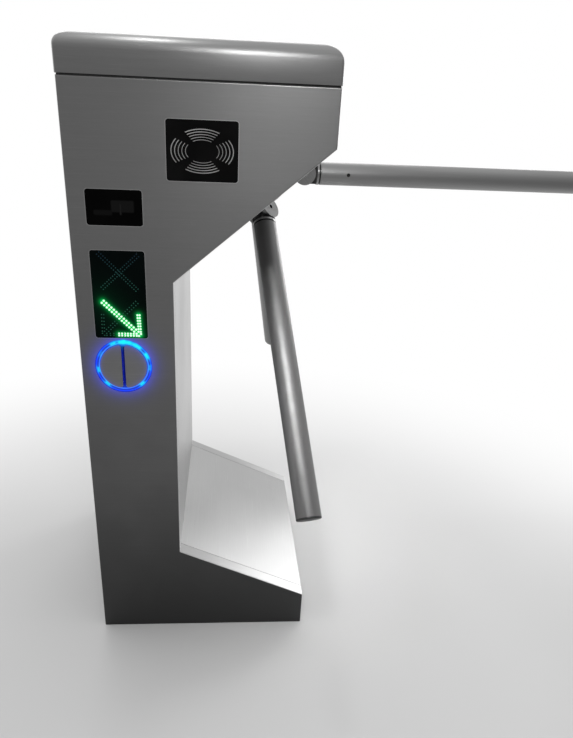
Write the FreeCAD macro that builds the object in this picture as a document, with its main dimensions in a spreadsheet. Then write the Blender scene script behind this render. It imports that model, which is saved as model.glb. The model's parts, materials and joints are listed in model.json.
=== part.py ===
"""Tripod turnstile: a C-shaped sheet-steel cabinet whose overhanging head carries three arms.

Frame: origin at the centre of the cabinet's footprint on the floor, +X towards the passage (the way the
blocking arm points), -Y towards the face with the reader and the direction display, +Z up. Millimetres.
"""
import FreeCAD
import Part
import math
import os

from FreeCAD import Placement, Rotation, Vector

SIZES = [
    # Cabinet outline
    ("cabinet_width", 380.0),
    ("cabinet_depth", 430.0),
    ("body_height", 948.0),
    ("column_width", 147.0),
    ("base_slope_top", 173.0),
    ("base_end_height", 68.0),
    ("head_end_height", 77.5),
    ("slope_angle", 40.0),
    ("sheet_thickness", 1.5),
    ("panel_edge_radius", 2.0),
    ("flange_width", 25.0),
    ("seam_gap", 0.3),
    ("backing_strip_width", 20.0),
    ("base_plate_thickness", 6.0),
    ("anchor_spacing_x", 260.0),
    ("anchor_spacing_y", 320.0),
    ("anchor_hole_radius", 7.0),
    ("cable_hole_radius", 28.0),
    ("cable_hole_x", -100.0),
    ("cable_entry_radius", 22.0),
    ("grommet_lip", 5.0),
    ("grommet_rise", 4.0),
    ("grommet_edge_round", 2.0),
    ("side_screw_radius", 3.0),
    ("side_screw_head_radius", 5.5),
    ("side_screw_head_height", 2.5),
    ("side_screw_crown_radius", 3.3),
    ("side_screw_edge_height", 0.8),
    ("side_screw_length", 12.0),
    ("side_screw_inset", 60.0),
    # Lid
    ("lid_height", 50.0),
    ("lid_gap", 2.0),
    ("lid_overhang", 1.0),
    ("lid_outer_corner", 17.0),
    ("lid_passage_corner", 26.0),
    ("lid_front_round", 16.0),
    ("lid_return_width", 14.0),
    ("gasket_inset", 4.0),
    ("gasket_width", 8.0),
    ("hinge_barrel_radius", 4.0),
    ("hinge_pin_radius", 2.0),
    ("hinge_leaf_thickness", 1.5),
    ("hinge_leaf_width", 26.0),
    ("hinge_leaf_offset", 3.2),
    ("hinge_web_offset", 2.4),
    ("hinge_web_thickness", 2.0),
    ("hinge_middle_knuckle", 19.2),
    ("hinge_knuckle_gap", 0.6),
    ("hinge_length", 60.0),
    ("hinge_spacing", 260.0),
    ("hinge_clearance", 0.5),
    ("lock_below_top", 36.0),
    ("lock_barrel_radius", 9.0),
    ("lock_flange_radius", 13.0),
    ("lock_flange_thickness", 3.0),
    ("lock_flange_round", 1.5),
    ("lock_plug_radius", 6.0),
    ("lock_hook_clearance", 6.0),
    ("key_slot_width", 1.5),
    ("lock_tongue_length", 26.0),
    ("lock_tongue_width", 12.0),
    ("lock_tongue_thickness", 2.5),
    ("lock_tongue_corner", 4.0),
    ("keeper_room", 2.0),
    ("keeper_bar", 6.0),
    # Front fittings
    ("window_proud", 0.3),
    ("window_lip", 5.0),
    ("window_back_thickness", 2.0),
    ("window_corner", 4.0),
    ("window_clearance", 0.3),
    ("reader_width", 100.0),
    ("reader_height", 80.0),
    ("reader_from_passage", 188.6),
    ("reader_below_top", 87.0),
    ("fitting_inset", 66.0),
    ("scanner_width", 80.0),
    ("scanner_height", 50.0),
    ("scanner_below_top", 166.0),
    ("display_width", 80.0),
    ("display_height", 135.0),
    ("display_gap", 35.5),
    ("module_margin", 6.0),
    ("reader_module_depth", 16.0),
    ("scanner_module_depth", 34.0),
    ("display_board_depth", 12.0),
    ("slot_gap", 2.5),
    ("slot_ring_radius", 44.5),
    ("slot_face_radius", 36.5),
    ("slot_face_thickness", 3.0),
    ("slot_face_corner", 4.0),
    ("slot_width", 5.0),
    ("slot_guide_height", 66.0),
    ("light_guide_recess", 1.0),
    ("light_guide_back", 4.0),
    ("light_guide_wing", 10.0),
    ("light_guide_wing_height", 71.0),
    ("chute_wall", 2.0),
    ("chute_depth", 60.0),
    ("card_box_width", 70.0),
    ("card_box_depth", 110.0),
    ("card_box_height", 140.0),
    ("card_drop", 34.5),
    ("card_box_wall", 2.0),
    ("control_unit_width", 100.0),
    ("control_unit_height", 200.0),
    ("control_unit_depth", 40.0),
    ("control_unit_floor", 430.0),
    ("power_supply_width", 98.0),
    ("power_supply_height", 160.0),
    ("power_supply_depth", 42.0),
    ("power_supply_floor", 210.0),
    # Turning mechanism
    ("hub_from_head_end", 109.0),
    ("arm_pivot_height", 23.35),
    ("shaft_radius", 12.45),
    ("running_clearance", 0.05),
    ("shaft_hole_radius", 20.0),
    ("shaft_collar_radius", 18.7),
    ("chassis_thickness", 8.0),
    ("chassis_up", 75.0),
    ("chassis_down", 110.0),
    ("chassis_half_width", 110.0),
    ("chassis_bolt_radius", 4.0),
    ("chassis_bolt_head_radius", 7.0),
    ("chassis_bolt_head_height", 4.5),
    ("chassis_bolt_head_round", 2.2),
    ("chassis_bolt_inset", 15.0),
    ("housing_radius", 33.0),
    ("housing_flange_radius", 50.0),
    ("housing_flange_thickness", 10.0),
    ("bearing_radius", 26.0),
    ("bearing_width", 15.0),
    ("bearing_recess", 1.0),
    ("bearing_race", 3.4),
    ("bearing_shield_recess", 0.8),
    ("plate_spacing", 65.0),
    ("plate_thickness", 6.0),
    ("plate_margin", 6.0),
    ("plate_corner", 7.5),
    ("pillar_radius", 7.0),
    ("pillar_up", 58.0),
    ("pillar_down", 95.0),
    ("pillar_across", 85.0),
    ("gear_module", 2.0),
    ("main_gear_teeth", 60.0),
    ("centring_gear_teeth", 20.0),
    ("damper_pinion_teeth", 15.0),
    ("gear_width", 10.0),
    ("gear_backlash", 0.35),
    ("stack_gap", 4.0),
    ("lock_disc_radius", 50.0),
    ("lock_disc_thickness", 6.0),
    ("lock_notch_depth", 9.0),
    ("lock_notch_width", 14.0),
    ("lock_notch_count", 12.0),
    ("pawl_post_gap", 11.25),
    ("pawl_width", 8.0),
    ("pawl_tail", 12.0),
    ("pawl_eye_wall", 4.0),
    ("pawl_tooth_width", 7.0),
    ("pawl_tooth_setback", 1.0),
    ("pawl_tip_gap", 1.5),
    ("pawl_bar_offset", 12.0),
    ("post_radius", 5.0),
    ("solenoid_length", 36.0),
    ("solenoid_width", 30.0),
    ("solenoid_gap", 10.0),
    ("plunger_radius", 4.0),
    ("plunger_inside", 29.0),
    ("plunger_tip_radius", 2.0),
    ("plunger_tip_round", 1.0),
    ("plunger_tip_gap", 0.4),
    ("encoder_radius", 40.0),
    ("encoder_thickness", 1.5),
    ("encoder_gap", 12.0),
    ("encoder_hole_count", 12.0),
    ("encoder_hole_ring", 34.0),
    ("encoder_hole_radius", 3.2),
    ("sensor_width", 16.0),
    ("sensor_slot", 6.0),
    ("sensor_arm", 3.0),
    ("sensor_overlap", 8.0),
    ("crank_radius", 12.0),
    ("crank_pin_radius", 3.0),
    ("crank_pin_length", 16.0),
    ("spring_radius", 5.0),
    ("spring_wire", 1.5),
    ("spring_stem_radius", 0.6),
    ("spring_length", 46.0),
    ("damper_radius", 20.0),
    ("damper_length", 28.0),
    ("damper_edge_round", 2.0),
    ("damper_bore_depth", 14.0),
    ("damper_shaft_depth", 11.0),
    ("damper_hole_radius", 6.0),
    ("damper_shaft_radius", 5.0),
    ("damper_azimuth", 126.0),
    # Hub and arms
    ("hub_gap", 2.0),
    ("hub_disc_thickness", 3.5),
    ("hub_disc_radius", 62.0),
    ("hub_boss_radius", 28.0),
    ("hub_boss_height", 22.0),
    ("hub_boss_round", 3.0),
    ("hub_bolt_head_radius", 13.0),
    ("hub_bolt_head_height", 6.0),
    ("hub_bolt_head_round", 2.0),
    ("hub_bolt_radius", 6.0),
    ("hub_bolt_hole_depth", 12.0),
    ("arm_pivot_distance", 83.0),
    ("ear_radius", 19.0),
    ("ear_thickness", 8.0),
    ("tongue_thickness", 21.4),
    ("tongue_clearance", 0.3),
    ("tongue_radius", 17.0),
    ("pivot_pin_radius", 6.0),
    ("pivot_pin_proud", 0.6),
    ("collar_from_pivot", 22.0),
    ("collar_width", 4.0),
    ("collar_groove", 2.0),
    ("groove_depth", 2.5),
    ("tube_radius", 19.0),
    ("tube_wall", 1.5),
    ("tube_length", 489.0),
    ("spigot_clearance", 0.1),
    ("spigot_length", 60.0),
    ("spigot_end_round", 2.0),
    ("plug_cap", 4.5),
    ("plug_crown", 1.5),
    ("plug_edge_round", 2.0),
    ("plug_depth", 20.0),
    ("set_screw_from_spigot_end", 12.0),
    ("set_screw_radius", 3.0),
    ("set_screw_length", 7.0),
]

# Each arm's turn about the hub's axis: a blocks the passage, b points to the front, c to the rear
ARM_AZIMUTHS = {"a": 0.0, "b": 120.0, "c": -120.0}
# Points nearer than this count as one
TOUCH = 1e-4

doc = FreeCAD.newDocument("tripod_turnstile")
sheet = doc.addObject("Spreadsheet::Sheet", "sizes")
for row, (alias, number) in enumerate(SIZES, start=1):
    sheet.set(f"A{row}", alias)
    sheet.set(f"B{row}", str(number))
    sheet.setAlias(f"B{row}", alias)
doc.recompute()

EXPORTS = []


def size(alias):
    """The number that a cell of the sheet holds."""
    return float(sheet.get(alias))


def keep(item, label):
    """Name a finished sub-part and list it for export."""
    item.Label = label
    EXPORTS.append(item)
    return item


def cell(alias):
    """The expression that reads a cell of the sheet."""
    return f"sizes.{alias}"


# Sketch outlines

def rounded_edges(corners):
    """Lines and tangent arcs through corners given as (x, y) or (x, y, radius)."""
    count = len(corners)
    starts = []
    ends = []
    arcs = []
    for index in range(count):
        here = Vector(corners[index][0], corners[index][1], 0)
        radius = corners[index][2] if len(corners[index]) > 2 else 0.0
        before = corners[index - 1]
        after = corners[(index + 1) % count]
        back = (Vector(before[0], before[1], 0) - here).normalize()
        ahead = (Vector(after[0], after[1], 0) - here).normalize()
        half_turn = back.getAngle(ahead) / 2.0
        if radius <= 0.0:
            starts.append(here)
            ends.append(here)
            arcs.append(None)
            continue
        reach = radius / math.tan(half_turn)
        middle = (back + ahead).normalize()
        centre = here + middle * (radius / math.sin(half_turn))
        starts.append(here + back * reach)
        ends.append(here + ahead * reach)
        arcs.append(Part.Arc(starts[-1], centre - middle * radius, ends[-1]))
    edges = []
    for index in range(count):
        if arcs[index]:
            edges.append(arcs[index])
        following = starts[(index + 1) % count]
        if (following - ends[index]).Length > TOUCH:
            edges.append(Part.LineSegment(ends[index], following))
    return edges


def circle(x, y, radius):
    """One round hole or disc as a sketch loop."""
    return [Part.Circle(Vector(x, y, 0), Vector(0, 0, 1), radius)]


def rectangle(x, y, width, height, corner=0.0):
    """A rectangle about a centre, with its corners rounded."""
    left = x - width / 2
    right = x + width / 2
    low = y - height / 2
    high = y + height / 2
    return rounded_edges([(left, low, corner), (right, low, corner),
                          (right, high, corner), (left, high, corner)])


# Document objects

def origin_plane(body, role):
    """The body's own origin plane or axis with that role."""
    return next(item for item in body.Origin.OriginFeatures if item.Role == role)


def pad_body(label, layers, placement=Placement()):
    """A body padded from closed loops: each layer is (loops, start height, pad length) with expressions."""
    body = doc.addObject("PartDesign::Body", label)
    for number, (loops, start, length) in enumerate(layers):
        sketch = body.newObject("Sketcher::SketchObject", f"{label}_outline_{number}")
        sketch.AttachmentSupport = [(origin_plane(body, "XY_Plane"), "")]
        sketch.MapMode = "FlatFace"
        sketch.setExpression("AttachmentOffset.Base.z", start)
        for loop in loops:
            sketch.addGeometry(loop, False)
        pad = body.newObject("PartDesign::Pad", f"{label}_pad_{number}")
        pad.Profile = sketch
        pad.setExpression("Length", length)
        body.Tip = pad
    body.Placement = placement
    return body


def turned_body(label, profile, placement=Placement()):
    """A body turned about its own Z axis from a closed (radius, height) outline."""
    body = doc.addObject("PartDesign::Body", label)
    sketch = body.newObject("Sketcher::SketchObject", f"{label}_profile")
    sketch.AttachmentSupport = [(origin_plane(body, "XZ_Plane"), "")]
    sketch.MapMode = "FlatFace"
    sketch.addGeometry(rounded_edges(profile), False)
    turn = body.newObject("PartDesign::Revolution", f"{label}_turn")
    turn.Profile = sketch
    turn.ReferenceAxis = (sketch, ["V_Axis"])
    turn.Angle = 360.0
    body.Tip = turn
    body.Placement = placement
    return body


def rod(label, radius, length, placement=Placement()):
    """A plain cylinder standing on its placement, with its sizes as expressions."""
    item = doc.addObject("Part::Cylinder", label)
    item.setExpression("Radius", radius)
    item.setExpression("Height", length)
    item.Placement = placement
    return item


def block(label, length, width, height, placement=Placement()):
    """A box from its lowest corner, with its sizes as expressions."""
    item = doc.addObject("Part::Box", label)
    item.setExpression("Length", length)
    item.setExpression("Width", width)
    item.setExpression("Height", height)
    item.Placement = placement
    return item


def fused(label, pieces):
    """One solid from overlapping or touching pieces."""
    item = doc.addObject("Part::MultiFuse", label)
    item.Shapes = pieces
    item.Refine = True
    return item


def cut(label, base, tool):
    """The base with the tool's space taken out."""
    item = doc.addObject("Part::Cut", label)
    item.Base = base
    item.Tool = tool
    return item


def group(label, pieces):
    """Separate solids that share one node."""
    item = doc.addObject("Part::Compound", label)
    item.Links = pieces
    return item


# Values worked out from the sheet

HALF_WIDTH = size("cabinet_width") / 2
HALF_DEPTH = size("cabinet_depth") / 2
SHEET = size("sheet_thickness")
COLUMN_FACE = size("column_width") - HALF_WIDTH
SLOPE = math.radians(size("slope_angle"))
BODY_TOP = size("body_height")
HEAD_END = BODY_TOP - size("head_end_height")
SLOPE_FOOT = HEAD_END - (HALF_WIDTH - COLUMN_FACE) * math.tan(SLOPE)
PANEL_INNER = HALF_DEPTH - SHEET
SEAM_Y = HALF_DEPTH - size("flange_width")

# The cabinet's outline, from the bottom of the outer side round to the bottom of the base's end
OUTLINE = [
    (-HALF_WIDTH, 0.0),
    (-HALF_WIDTH, BODY_TOP),
    (HALF_WIDTH, BODY_TOP),
    (HALF_WIDTH, HEAD_END),
    (COLUMN_FACE, SLOPE_FOOT),
    (COLUMN_FACE, size("base_slope_top")),
    (HALF_WIDTH, size("base_end_height")),
    (HALF_WIDTH, 0.0),
]
# Upright profiles are drawn in X and Z, and their thickness runs towards -Y
UPRIGHT = Rotation(Vector(1, 0, 0), 90)
# Side-on profiles are drawn in Y and Z, and their thickness runs towards +X
SIDE_ON = Rotation(Vector(0, 0, 1), 90).multiply(UPRIGHT)
# Turns of a rod's or turned piece's axis from Z to +X and to +Y
TOWARDS_PASSAGE = Rotation(Vector(0, 1, 0), 90)
TOWARDS_REAR = Rotation(Vector(1, 0, 0), -90)


def upright(y=0.0):
    """Placement that stands an XY outline up in X and Z, with its start height measured from y towards -Y."""
    return Placement(Vector(0, y, 0), UPRIGHT)


def inset_outline(distance):
    """The cabinet's outline moved inwards by a sheet's thickness, open along the floor."""
    moved = []
    for index, point in enumerate(OUTLINE):
        here = Vector(point[0], point[1], 0)
        normals = []
        for first, second in ((index - 1, index), (index, index + 1)):
            if first < 0 or second >= len(OUTLINE):
                continue
            run = Vector(*OUTLINE[second], 0) - Vector(*OUTLINE[first], 0)
            run.normalize()
            normals.append(Vector(run.y, -run.x, 0))
        if len(normals) == 1:
            moved.append(here + normals[0] * distance)
            continue
        bisector = (normals[0] + normals[1]).normalize()
        moved.append(here + bisector * (distance / bisector.dot(normals[0])))
    return [(point.x, point.y) for point in moved]


INNER_OUTLINE = inset_outline(SHEET)
BACKING_OUTLINE = inset_outline(2 * SHEET)
# How far a drill for a sheet starts behind the sheet's face, and ends in front of it
DRILL_OVERRUN = 3 * SHEET
DRILL_LENGTH = f"6 * {cell('sheet_thickness')}"

# Centres of the front's fittings: the column of three is stacked downwards from the scanner
FITTING_X = size("fitting_inset") - HALF_WIDTH
READER_X = HALF_WIDTH - size("reader_from_passage")
READER_Z = BODY_TOP - size("reader_below_top")
SCANNER_Z = BODY_TOP - size("scanner_below_top")
DISPLAY_Z = SCANNER_Z - size("scanner_height") / 2 - size("display_gap") - size("display_height") / 2
SLOT_Z = DISPLAY_Z - size("display_height") / 2 - size("slot_gap") - size("slot_ring_radius")

# The lid and its lock: the barrel reaches past the flange that the lid sits on
LID_FLOOR = BODY_TOP + size("lid_gap")
LID_HALF_X = HALF_WIDTH + size("lid_overhang")
LID_HALF_Y = HALF_DEPTH + size("lid_overhang")
HINGE_X = -LID_HALF_X - size("hinge_clearance") - size("hinge_barrel_radius")
HINGE_Z = BODY_TOP + size("lid_gap") / 2
LOCK_Z = BODY_TOP - size("lock_below_top")
LOCK_LENGTH = size("flange_width") + size("lock_hook_clearance")
TONGUE_X = HALF_WIDTH - LOCK_LENGTH - size("lock_tongue_thickness")
TONGUE_START = (f"({cell('cabinet_width')} / 2 - {cell('flange_width')} - {cell('lock_hook_clearance')}"
                f" - {cell('lock_tongue_thickness')})")

# The mechanism's own frame: u up the slope, v towards the front face, w out of the slope along the hub's axis
UP_SLOPE = Vector(math.cos(SLOPE), 0, math.sin(SLOPE))
HUB_POINT = Vector(HALF_WIDTH, 0, HEAD_END) - UP_SLOPE * size("hub_from_head_end")
MECHANISM = Placement(HUB_POINT, Rotation(Vector(math.cos(SLOPE / 2), 0, math.sin(SLOPE / 2)), 180))


def in_mechanism(u, v, w, turn=Rotation()):
    """Placement at a point of the mechanism's frame."""
    return MECHANISM.multiply(Placement(Vector(u, v, w), turn))


def chassis_bolt_places():
    """The four bolts of the mechanism's chassis, as (u, v)."""
    inset = size("chassis_bolt_inset")
    across = size("chassis_half_width") - inset
    along = (size("chassis_up") - inset, inset - size("chassis_down"))
    return [(u, v) for u in along for v in (-across, across)]


# Faces and sheets of the cabinet

def front_windows():
    """Cut-outs of the front face: the reader, the scanner, the display and the round slot unit."""
    corner = size("window_corner")
    return [
        rectangle(READER_X, READER_Z, size("reader_width"), size("reader_height"), corner),
        rectangle(FITTING_X, SCANNER_Z, size("scanner_width"), size("scanner_height"), corner),
        rectangle(FITTING_X, DISPLAY_Z, size("display_width"), size("display_height"), corner),
        circle(FITTING_X, SLOT_Z, size("slot_ring_radius") + size("window_clearance")),
    ]


def bend_edges(shape, face_height):
    """Names of the outer face's edges along the bends, which leaves out the floor edge and the windows."""
    names = []
    for number, edge in enumerate(shape.Edges, start=1):
        ends = [vertex.Point for vertex in edge.Vertexes]
        on_face = all(abs(point.z - face_height) < TOUCH for point in ends)
        on_outline = all(any(Vector(x, y, face_height).distanceToPoint(point) < TOUCH for x, y in OUTLINE)
                         for point in ends)
        on_floor = all(abs(point.y) < TOUCH for point in ends)
        if on_face and on_outline and not on_floor:
            names.append(f"Edge{number}")
    return names


def c_panel(label, windows, wall_y, outward):
    """A C-shaped face with its edges bent back into a flange; outward is 1 for the front, -1 for the rear."""
    thickness = cell("sheet_thickness")
    width = cell("flange_width")
    face_start = "0" if outward > 0 else f"-{thickness}"
    flange_start = f"{thickness} - {width}" if outward > 0 else f"-{thickness}"
    layers = [
        ([rounded_edges(OUTLINE)] + windows, face_start, thickness),
        ([rounded_edges(OUTLINE + INNER_OUTLINE[::-1])], flange_start, width),
    ]
    body = pad_body(f"{label}_pan", layers)
    doc.recompute()
    flat = body.Tip
    bend = body.newObject("PartDesign::Fillet", f"{label}_bend")
    bend.Base = (flat, bend_edges(flat.Shape, SHEET * outward))
    bend.setExpression("Radius", cell("panel_edge_radius"))
    body.Tip = bend
    body.Placement = upright(wall_y)
    return body


def side_screw_places():
    """Where the side panel's screws go in: three up each flange, through the strip behind it."""
    heights = [size("side_screw_inset"), BODY_TOP / 2, BODY_TOP - size("side_screw_inset")]
    across = SEAM_Y + size("backing_strip_width") / 4
    return [Vector(-HALF_WIDTH, y, z) for y in (-across, across) for z in heights]


def side_screw_holes(label):
    """Rods that cut the side panel's screw holes."""
    radius = f"{cell('side_screw_radius')} + {cell('running_clearance')}"
    rods = []
    for number, place in enumerate(side_screw_places()):
        start = place - Vector(size("side_screw_length"), 0, 0)
        length = f"3 * {cell('side_screw_length')}"
        rods.append(rod(f"{label}_hole_{number}", radius, length, Placement(start, TOWARDS_PASSAGE)))
    return group(f"{label}_holes", rods)


def build_faces():
    """The two C-shaped faces, the front one with its windows."""
    front = c_panel("front_panel", front_windows(), -PANEL_INNER, 1)
    keep(cut("front_panel_drilled", front, side_screw_holes("front_panel")), "front_panel")
    rear = c_panel("rear_panel", [], PANEL_INNER, -1)
    keep(cut("rear_panel_drilled", rear, side_screw_holes("rear_panel")), "rear_panel")


def infill(label, run, extra_layers=()):
    """A sheet between the two flanges along one run of the outline, with backing strips under both seams."""
    main = rounded_edges([OUTLINE[run], OUTLINE[run + 1], INNER_OUTLINE[run + 1], INNER_OUTLINE[run]])
    strip = rounded_edges([INNER_OUTLINE[run], INNER_OUTLINE[run + 1],
                           BACKING_OUTLINE[run + 1], BACKING_OUTLINE[run]])
    seam = f"({cell('cabinet_depth')} / 2 - {cell('flange_width')})"
    half_span = f"({seam} - {cell('seam_gap')})"
    strip_width = cell("backing_strip_width")
    layers = [([main], f"-{half_span}", f"2 * {half_span}")]
    layers += [([loop], f"-{half_span}", f"2 * {half_span}") for loop in extra_layers]
    layers += [
        ([strip], f"{seam} - {strip_width} / 2", strip_width),
        ([strip], f"-{seam} - {strip_width} / 2", strip_width),
    ]
    return pad_body(label, layers, upright())


def lid_seat(side):
    """The top edge of a side sheet bent inwards to carry the lid; side is -1 outer, 1 at the passage."""
    outer = side * HALF_WIDTH
    inner = side * (HALF_WIDTH - size("flange_width"))
    under = BODY_TOP - SHEET
    return rounded_edges([(outer, BODY_TOP), (inner, BODY_TOP), (inner, under), (outer, under)])


def build_infill():
    """The sheets that close the cabinet between its two faces."""
    side = infill("outer_side_sheet", 0, [lid_seat(-1)])
    keep(cut("outer_side_drilled", side, side_screw_holes("outer_side")), "outer_side_panel")
    head_end = infill("head_end_sheet", 2, [lid_seat(1)])
    lock_hole = rod("lock_hole", f"{cell('lock_barrel_radius')} + {cell('running_clearance')}", DRILL_LENGTH,
                    Placement(Vector(HALF_WIDTH - DRILL_OVERRUN, 0, LOCK_Z), TOWARDS_PASSAGE))
    keep(cut("head_end_drilled", head_end, lock_hole), "head_end_panel")
    slope = infill("head_slope_sheet", 3)
    shaft_place = in_mechanism(0, 0, -DRILL_OVERRUN)
    tools = [rod("shaft_opening", cell("shaft_hole_radius"), DRILL_LENGTH, shaft_place)]
    bolt_hole = f"{cell('chassis_bolt_radius')} + {cell('running_clearance')}"
    tools += [rod(f"chassis_hole_{number}", bolt_hole, DRILL_LENGTH, in_mechanism(u, v, -DRILL_OVERRUN))
              for number, (u, v) in enumerate(chassis_bolt_places())]
    keep(cut("head_slope_drilled", slope, group("head_slope_holes", tools)), "head_slope_panel")
    keep(infill("column_inner_sheet", 4), "column_inner_panel")
    keep(infill("base_slope_sheet", 5), "base_slope_panel")
    keep(infill("base_end_sheet", 6), "base_end_panel")


def build_side_screws():
    """Button-head screws that hold the removable outer side panel to both flanges."""
    head = size("side_screw_head_height")
    head_radius = size("side_screw_head_radius")
    radius = size("side_screw_radius")
    edge = size("side_screw_edge_height")
    end = size("side_screw_length")
    profile = [(0, -head), (size("side_screw_crown_radius"), -head), (head_radius, -edge), (head_radius, 0),
               (radius, 0), (radius, end), (0, end)]
    screws = [turned_body(f"side_screw_{number}", profile, Placement(place, TOWARDS_PASSAGE))
              for number, place in enumerate(side_screw_places())]
    keep(group("side_screw_set", screws), "side_panel_screws")


def build_base():
    """The floor plate with its anchor holes, and the rubber grommet of the cable entry."""
    gap = size("seam_gap")
    half_x = HALF_WIDTH - 2 * SHEET - gap
    half_y = PANEL_INNER - gap
    cable_x = size("cable_hole_x")
    loops = [rectangle(0, 0, 2 * half_x, 2 * half_y), circle(cable_x, 0, size("cable_hole_radius"))]
    half_spacing_x = size("anchor_spacing_x") / 2
    half_spacing_y = size("anchor_spacing_y") / 2
    for x in (-half_spacing_x, half_spacing_x):
        for y in (-half_spacing_y, half_spacing_y):
            loops.append(circle(x, y, size("anchor_hole_radius")))
    keep(pad_body("base_plate_body", [(loops, "0", cell("base_plate_thickness"))]), "base_plate")
    inner = size("cable_entry_radius")
    sleeve = size("cable_hole_radius") - size("running_clearance")
    lip = size("cable_hole_radius") + size("grommet_lip")
    plate = size("base_plate_thickness")
    top = plate + size("grommet_rise")
    edge = size("grommet_edge_round")
    profile = [(inner, 0), (sleeve, 0), (sleeve, plate), (lip, plate), (lip, top, edge), (inner, top)]
    place = Placement(Vector(cable_x, 0, 0), Rotation())
    keep(turned_body("cable_grommet_body", profile, place), "cable_grommet")


# Lid, its hinges and its lock

def lid_block(label, inset):
    """The lid's rounded outside, or its inside when inset by the sheet's thickness."""
    top = LID_FLOOR + size("lid_height") - inset
    floor = LID_FLOOR - inset
    x = LID_HALF_X - inset
    y = LID_HALF_Y - inset
    front = [(-x, floor), (x, floor), (x, top, size("lid_passage_corner") - inset),
             (-x, top, size("lid_outer_corner") - inset)]
    side_corner = size("lid_front_round") - inset
    side = [(-y, floor), (y, floor), (y, top, side_corner), (-y, top, side_corner)]
    inset_cell = cell("sheet_thickness") if inset else "0"
    half_y = f"({cell('cabinet_depth')} / 2 + {cell('lid_overhang')} - {inset_cell})"
    half_x = f"({cell('cabinet_width')} / 2 + {cell('lid_overhang')} - {inset_cell})"
    along_y = pad_body(f"{label}_front", [([rounded_edges(front)], f"-{half_y}", f"2 * {half_y}")], upright())
    along_x = pad_body(f"{label}_side", [([rounded_edges(side)], f"-{half_x}", f"2 * {half_x}")],
                       Placement(Vector(), SIDE_ON))
    common = doc.addObject("Part::MultiCommon", label)
    common.Shapes = [along_y, along_x]
    return common


def build_lid():
    """The lid: a rounded shell, its edge turned in to sit on the gasket."""
    shell = cut("lid_shell", lid_block("lid_outside", 0.0), lid_block("lid_inside", SHEET))
    inner_x = LID_HALF_X - size("lid_return_width")
    inner_y = LID_HALF_Y - size("lid_return_width")
    edge = [rectangle(0, 0, 2 * LID_HALF_X, 2 * LID_HALF_Y), rectangle(0, 0, 2 * inner_x, 2 * inner_y)]
    edge_level = f"{cell('body_height')} + {cell('lid_gap')}"
    turned_in = pad_body("lid_edge", [(edge, edge_level, cell("sheet_thickness"))])
    keep(fused("lid_weldment", [shell, turned_in]), "lid")


def build_lid_hook():
    """The hook that the lock's tongue catches: a bent bar on a tab that lies on the lid's turned-in edge."""
    room = size("keeper_room")
    reach = size("lock_tongue_length") + 2 * room
    low = LOCK_Z - size("lock_tongue_width") / 2 - room
    bar = size("keeper_bar")
    top = LID_FLOOR + 2 * SHEET
    strip = [(reach, top), (reach + bar, top), (reach + bar, low - bar), (reach / 2, low - bar),
             (reach / 2, low), (reach, low)]
    hook = pad_body("lid_hook", [([rounded_edges(strip)], TONGUE_START, cell("lock_tongue_thickness"))],
                    Placement(Vector(), SIDE_ON))
    tab_end = LID_HALF_X - size("lid_return_width") / 2
    bridge = [rectangle((TONGUE_X + tab_end) / 2, reach + bar / 2, tab_end - TONGUE_X, bar)]
    tab_level = f"{cell('body_height')} + {cell('lid_gap')} + {cell('sheet_thickness')}"
    tab = pad_body("lid_hook_tab", [(bridge, tab_level, cell("sheet_thickness"))])
    keep(fused("lid_hook_joined", [hook, tab]), "lid_lock_hook")


def build_gasket():
    """The rubber strip between the body's top flange and the lid."""
    outer_x = HALF_WIDTH - size("gasket_inset")
    outer_y = HALF_DEPTH - size("gasket_inset")
    width = size("gasket_width")
    inner_x = outer_x - width
    inner_y = outer_y - width
    loops = [rectangle(0, 0, 2 * outer_x, 2 * outer_y), rectangle(0, 0, 2 * inner_x, 2 * inner_y)]
    keep(pad_body("gasket_body", [(loops, cell("body_height"), cell("lid_gap"))]), "lid_gasket")


def knuckle_spans():
    """Knuckles of a hinge as (start, length) from its middle: two on the fixed leaf, one on the other."""
    half = f"({cell('hinge_length')} / 2)"
    middle = f"({cell('hinge_middle_knuckle')} / 2)"
    outer = f"({half} - {middle} - {cell('hinge_knuckle_gap')})"
    fixed = [(f"-{half}", outer), (f"{half} - {outer}", outer)]
    moving = [(f"-{middle}", f"2 * {middle}")]
    return fixed, moving


def hinge_leaf(label, centre_y, face_x, side, spans):
    """One leaf of a lid hinge: a plate, and knuckles joined to it by webs; side is 1 up, -1 down."""
    behind = face_x - size("hinge_leaf_thickness")
    near = HINGE_Z + side * size("hinge_leaf_offset")
    far = near + side * size("hinge_leaf_width")
    plate = rounded_edges([(behind, near), (face_x, near), (face_x, far), (behind, far)])
    web_near = HINGE_Z + side * size("hinge_web_offset")
    web_far = web_near + side * size("hinge_web_thickness")
    web = rounded_edges([(HINGE_X, web_near), (face_x, web_near), (face_x, web_far), (HINGE_X, web_far)])
    bore = size("hinge_pin_radius") + size("running_clearance")
    ring = [circle(HINGE_X, HINGE_Z, size("hinge_barrel_radius")), circle(HINGE_X, HINGE_Z, bore)]
    length = cell("hinge_length")
    layers = [([plate], f"{-centre_y} - {length} / 2", length)]
    layers += [([web], f"{-centre_y} + ({start})", span) for start, span in spans]
    pieces = [pad_body(f"{label}_plate", layers, upright())]
    for number, (start, span) in enumerate(spans):
        knuckle = [(ring, f"{-centre_y} + ({start})", span)]
        pieces.append(pad_body(f"{label}_knuckle_{number}", knuckle, upright()))
    hole_radius = f"{cell('hinge_pin_radius')} + {cell('running_clearance')}"
    hole_end = Vector(HINGE_X, centre_y + size("hinge_length"), HINGE_Z)
    hole = rod(f"{label}_bore", hole_radius, f"2 * {length}", Placement(hole_end, UPRIGHT))
    return cut(label, fused(f"{label}_joined", pieces), hole)


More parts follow.
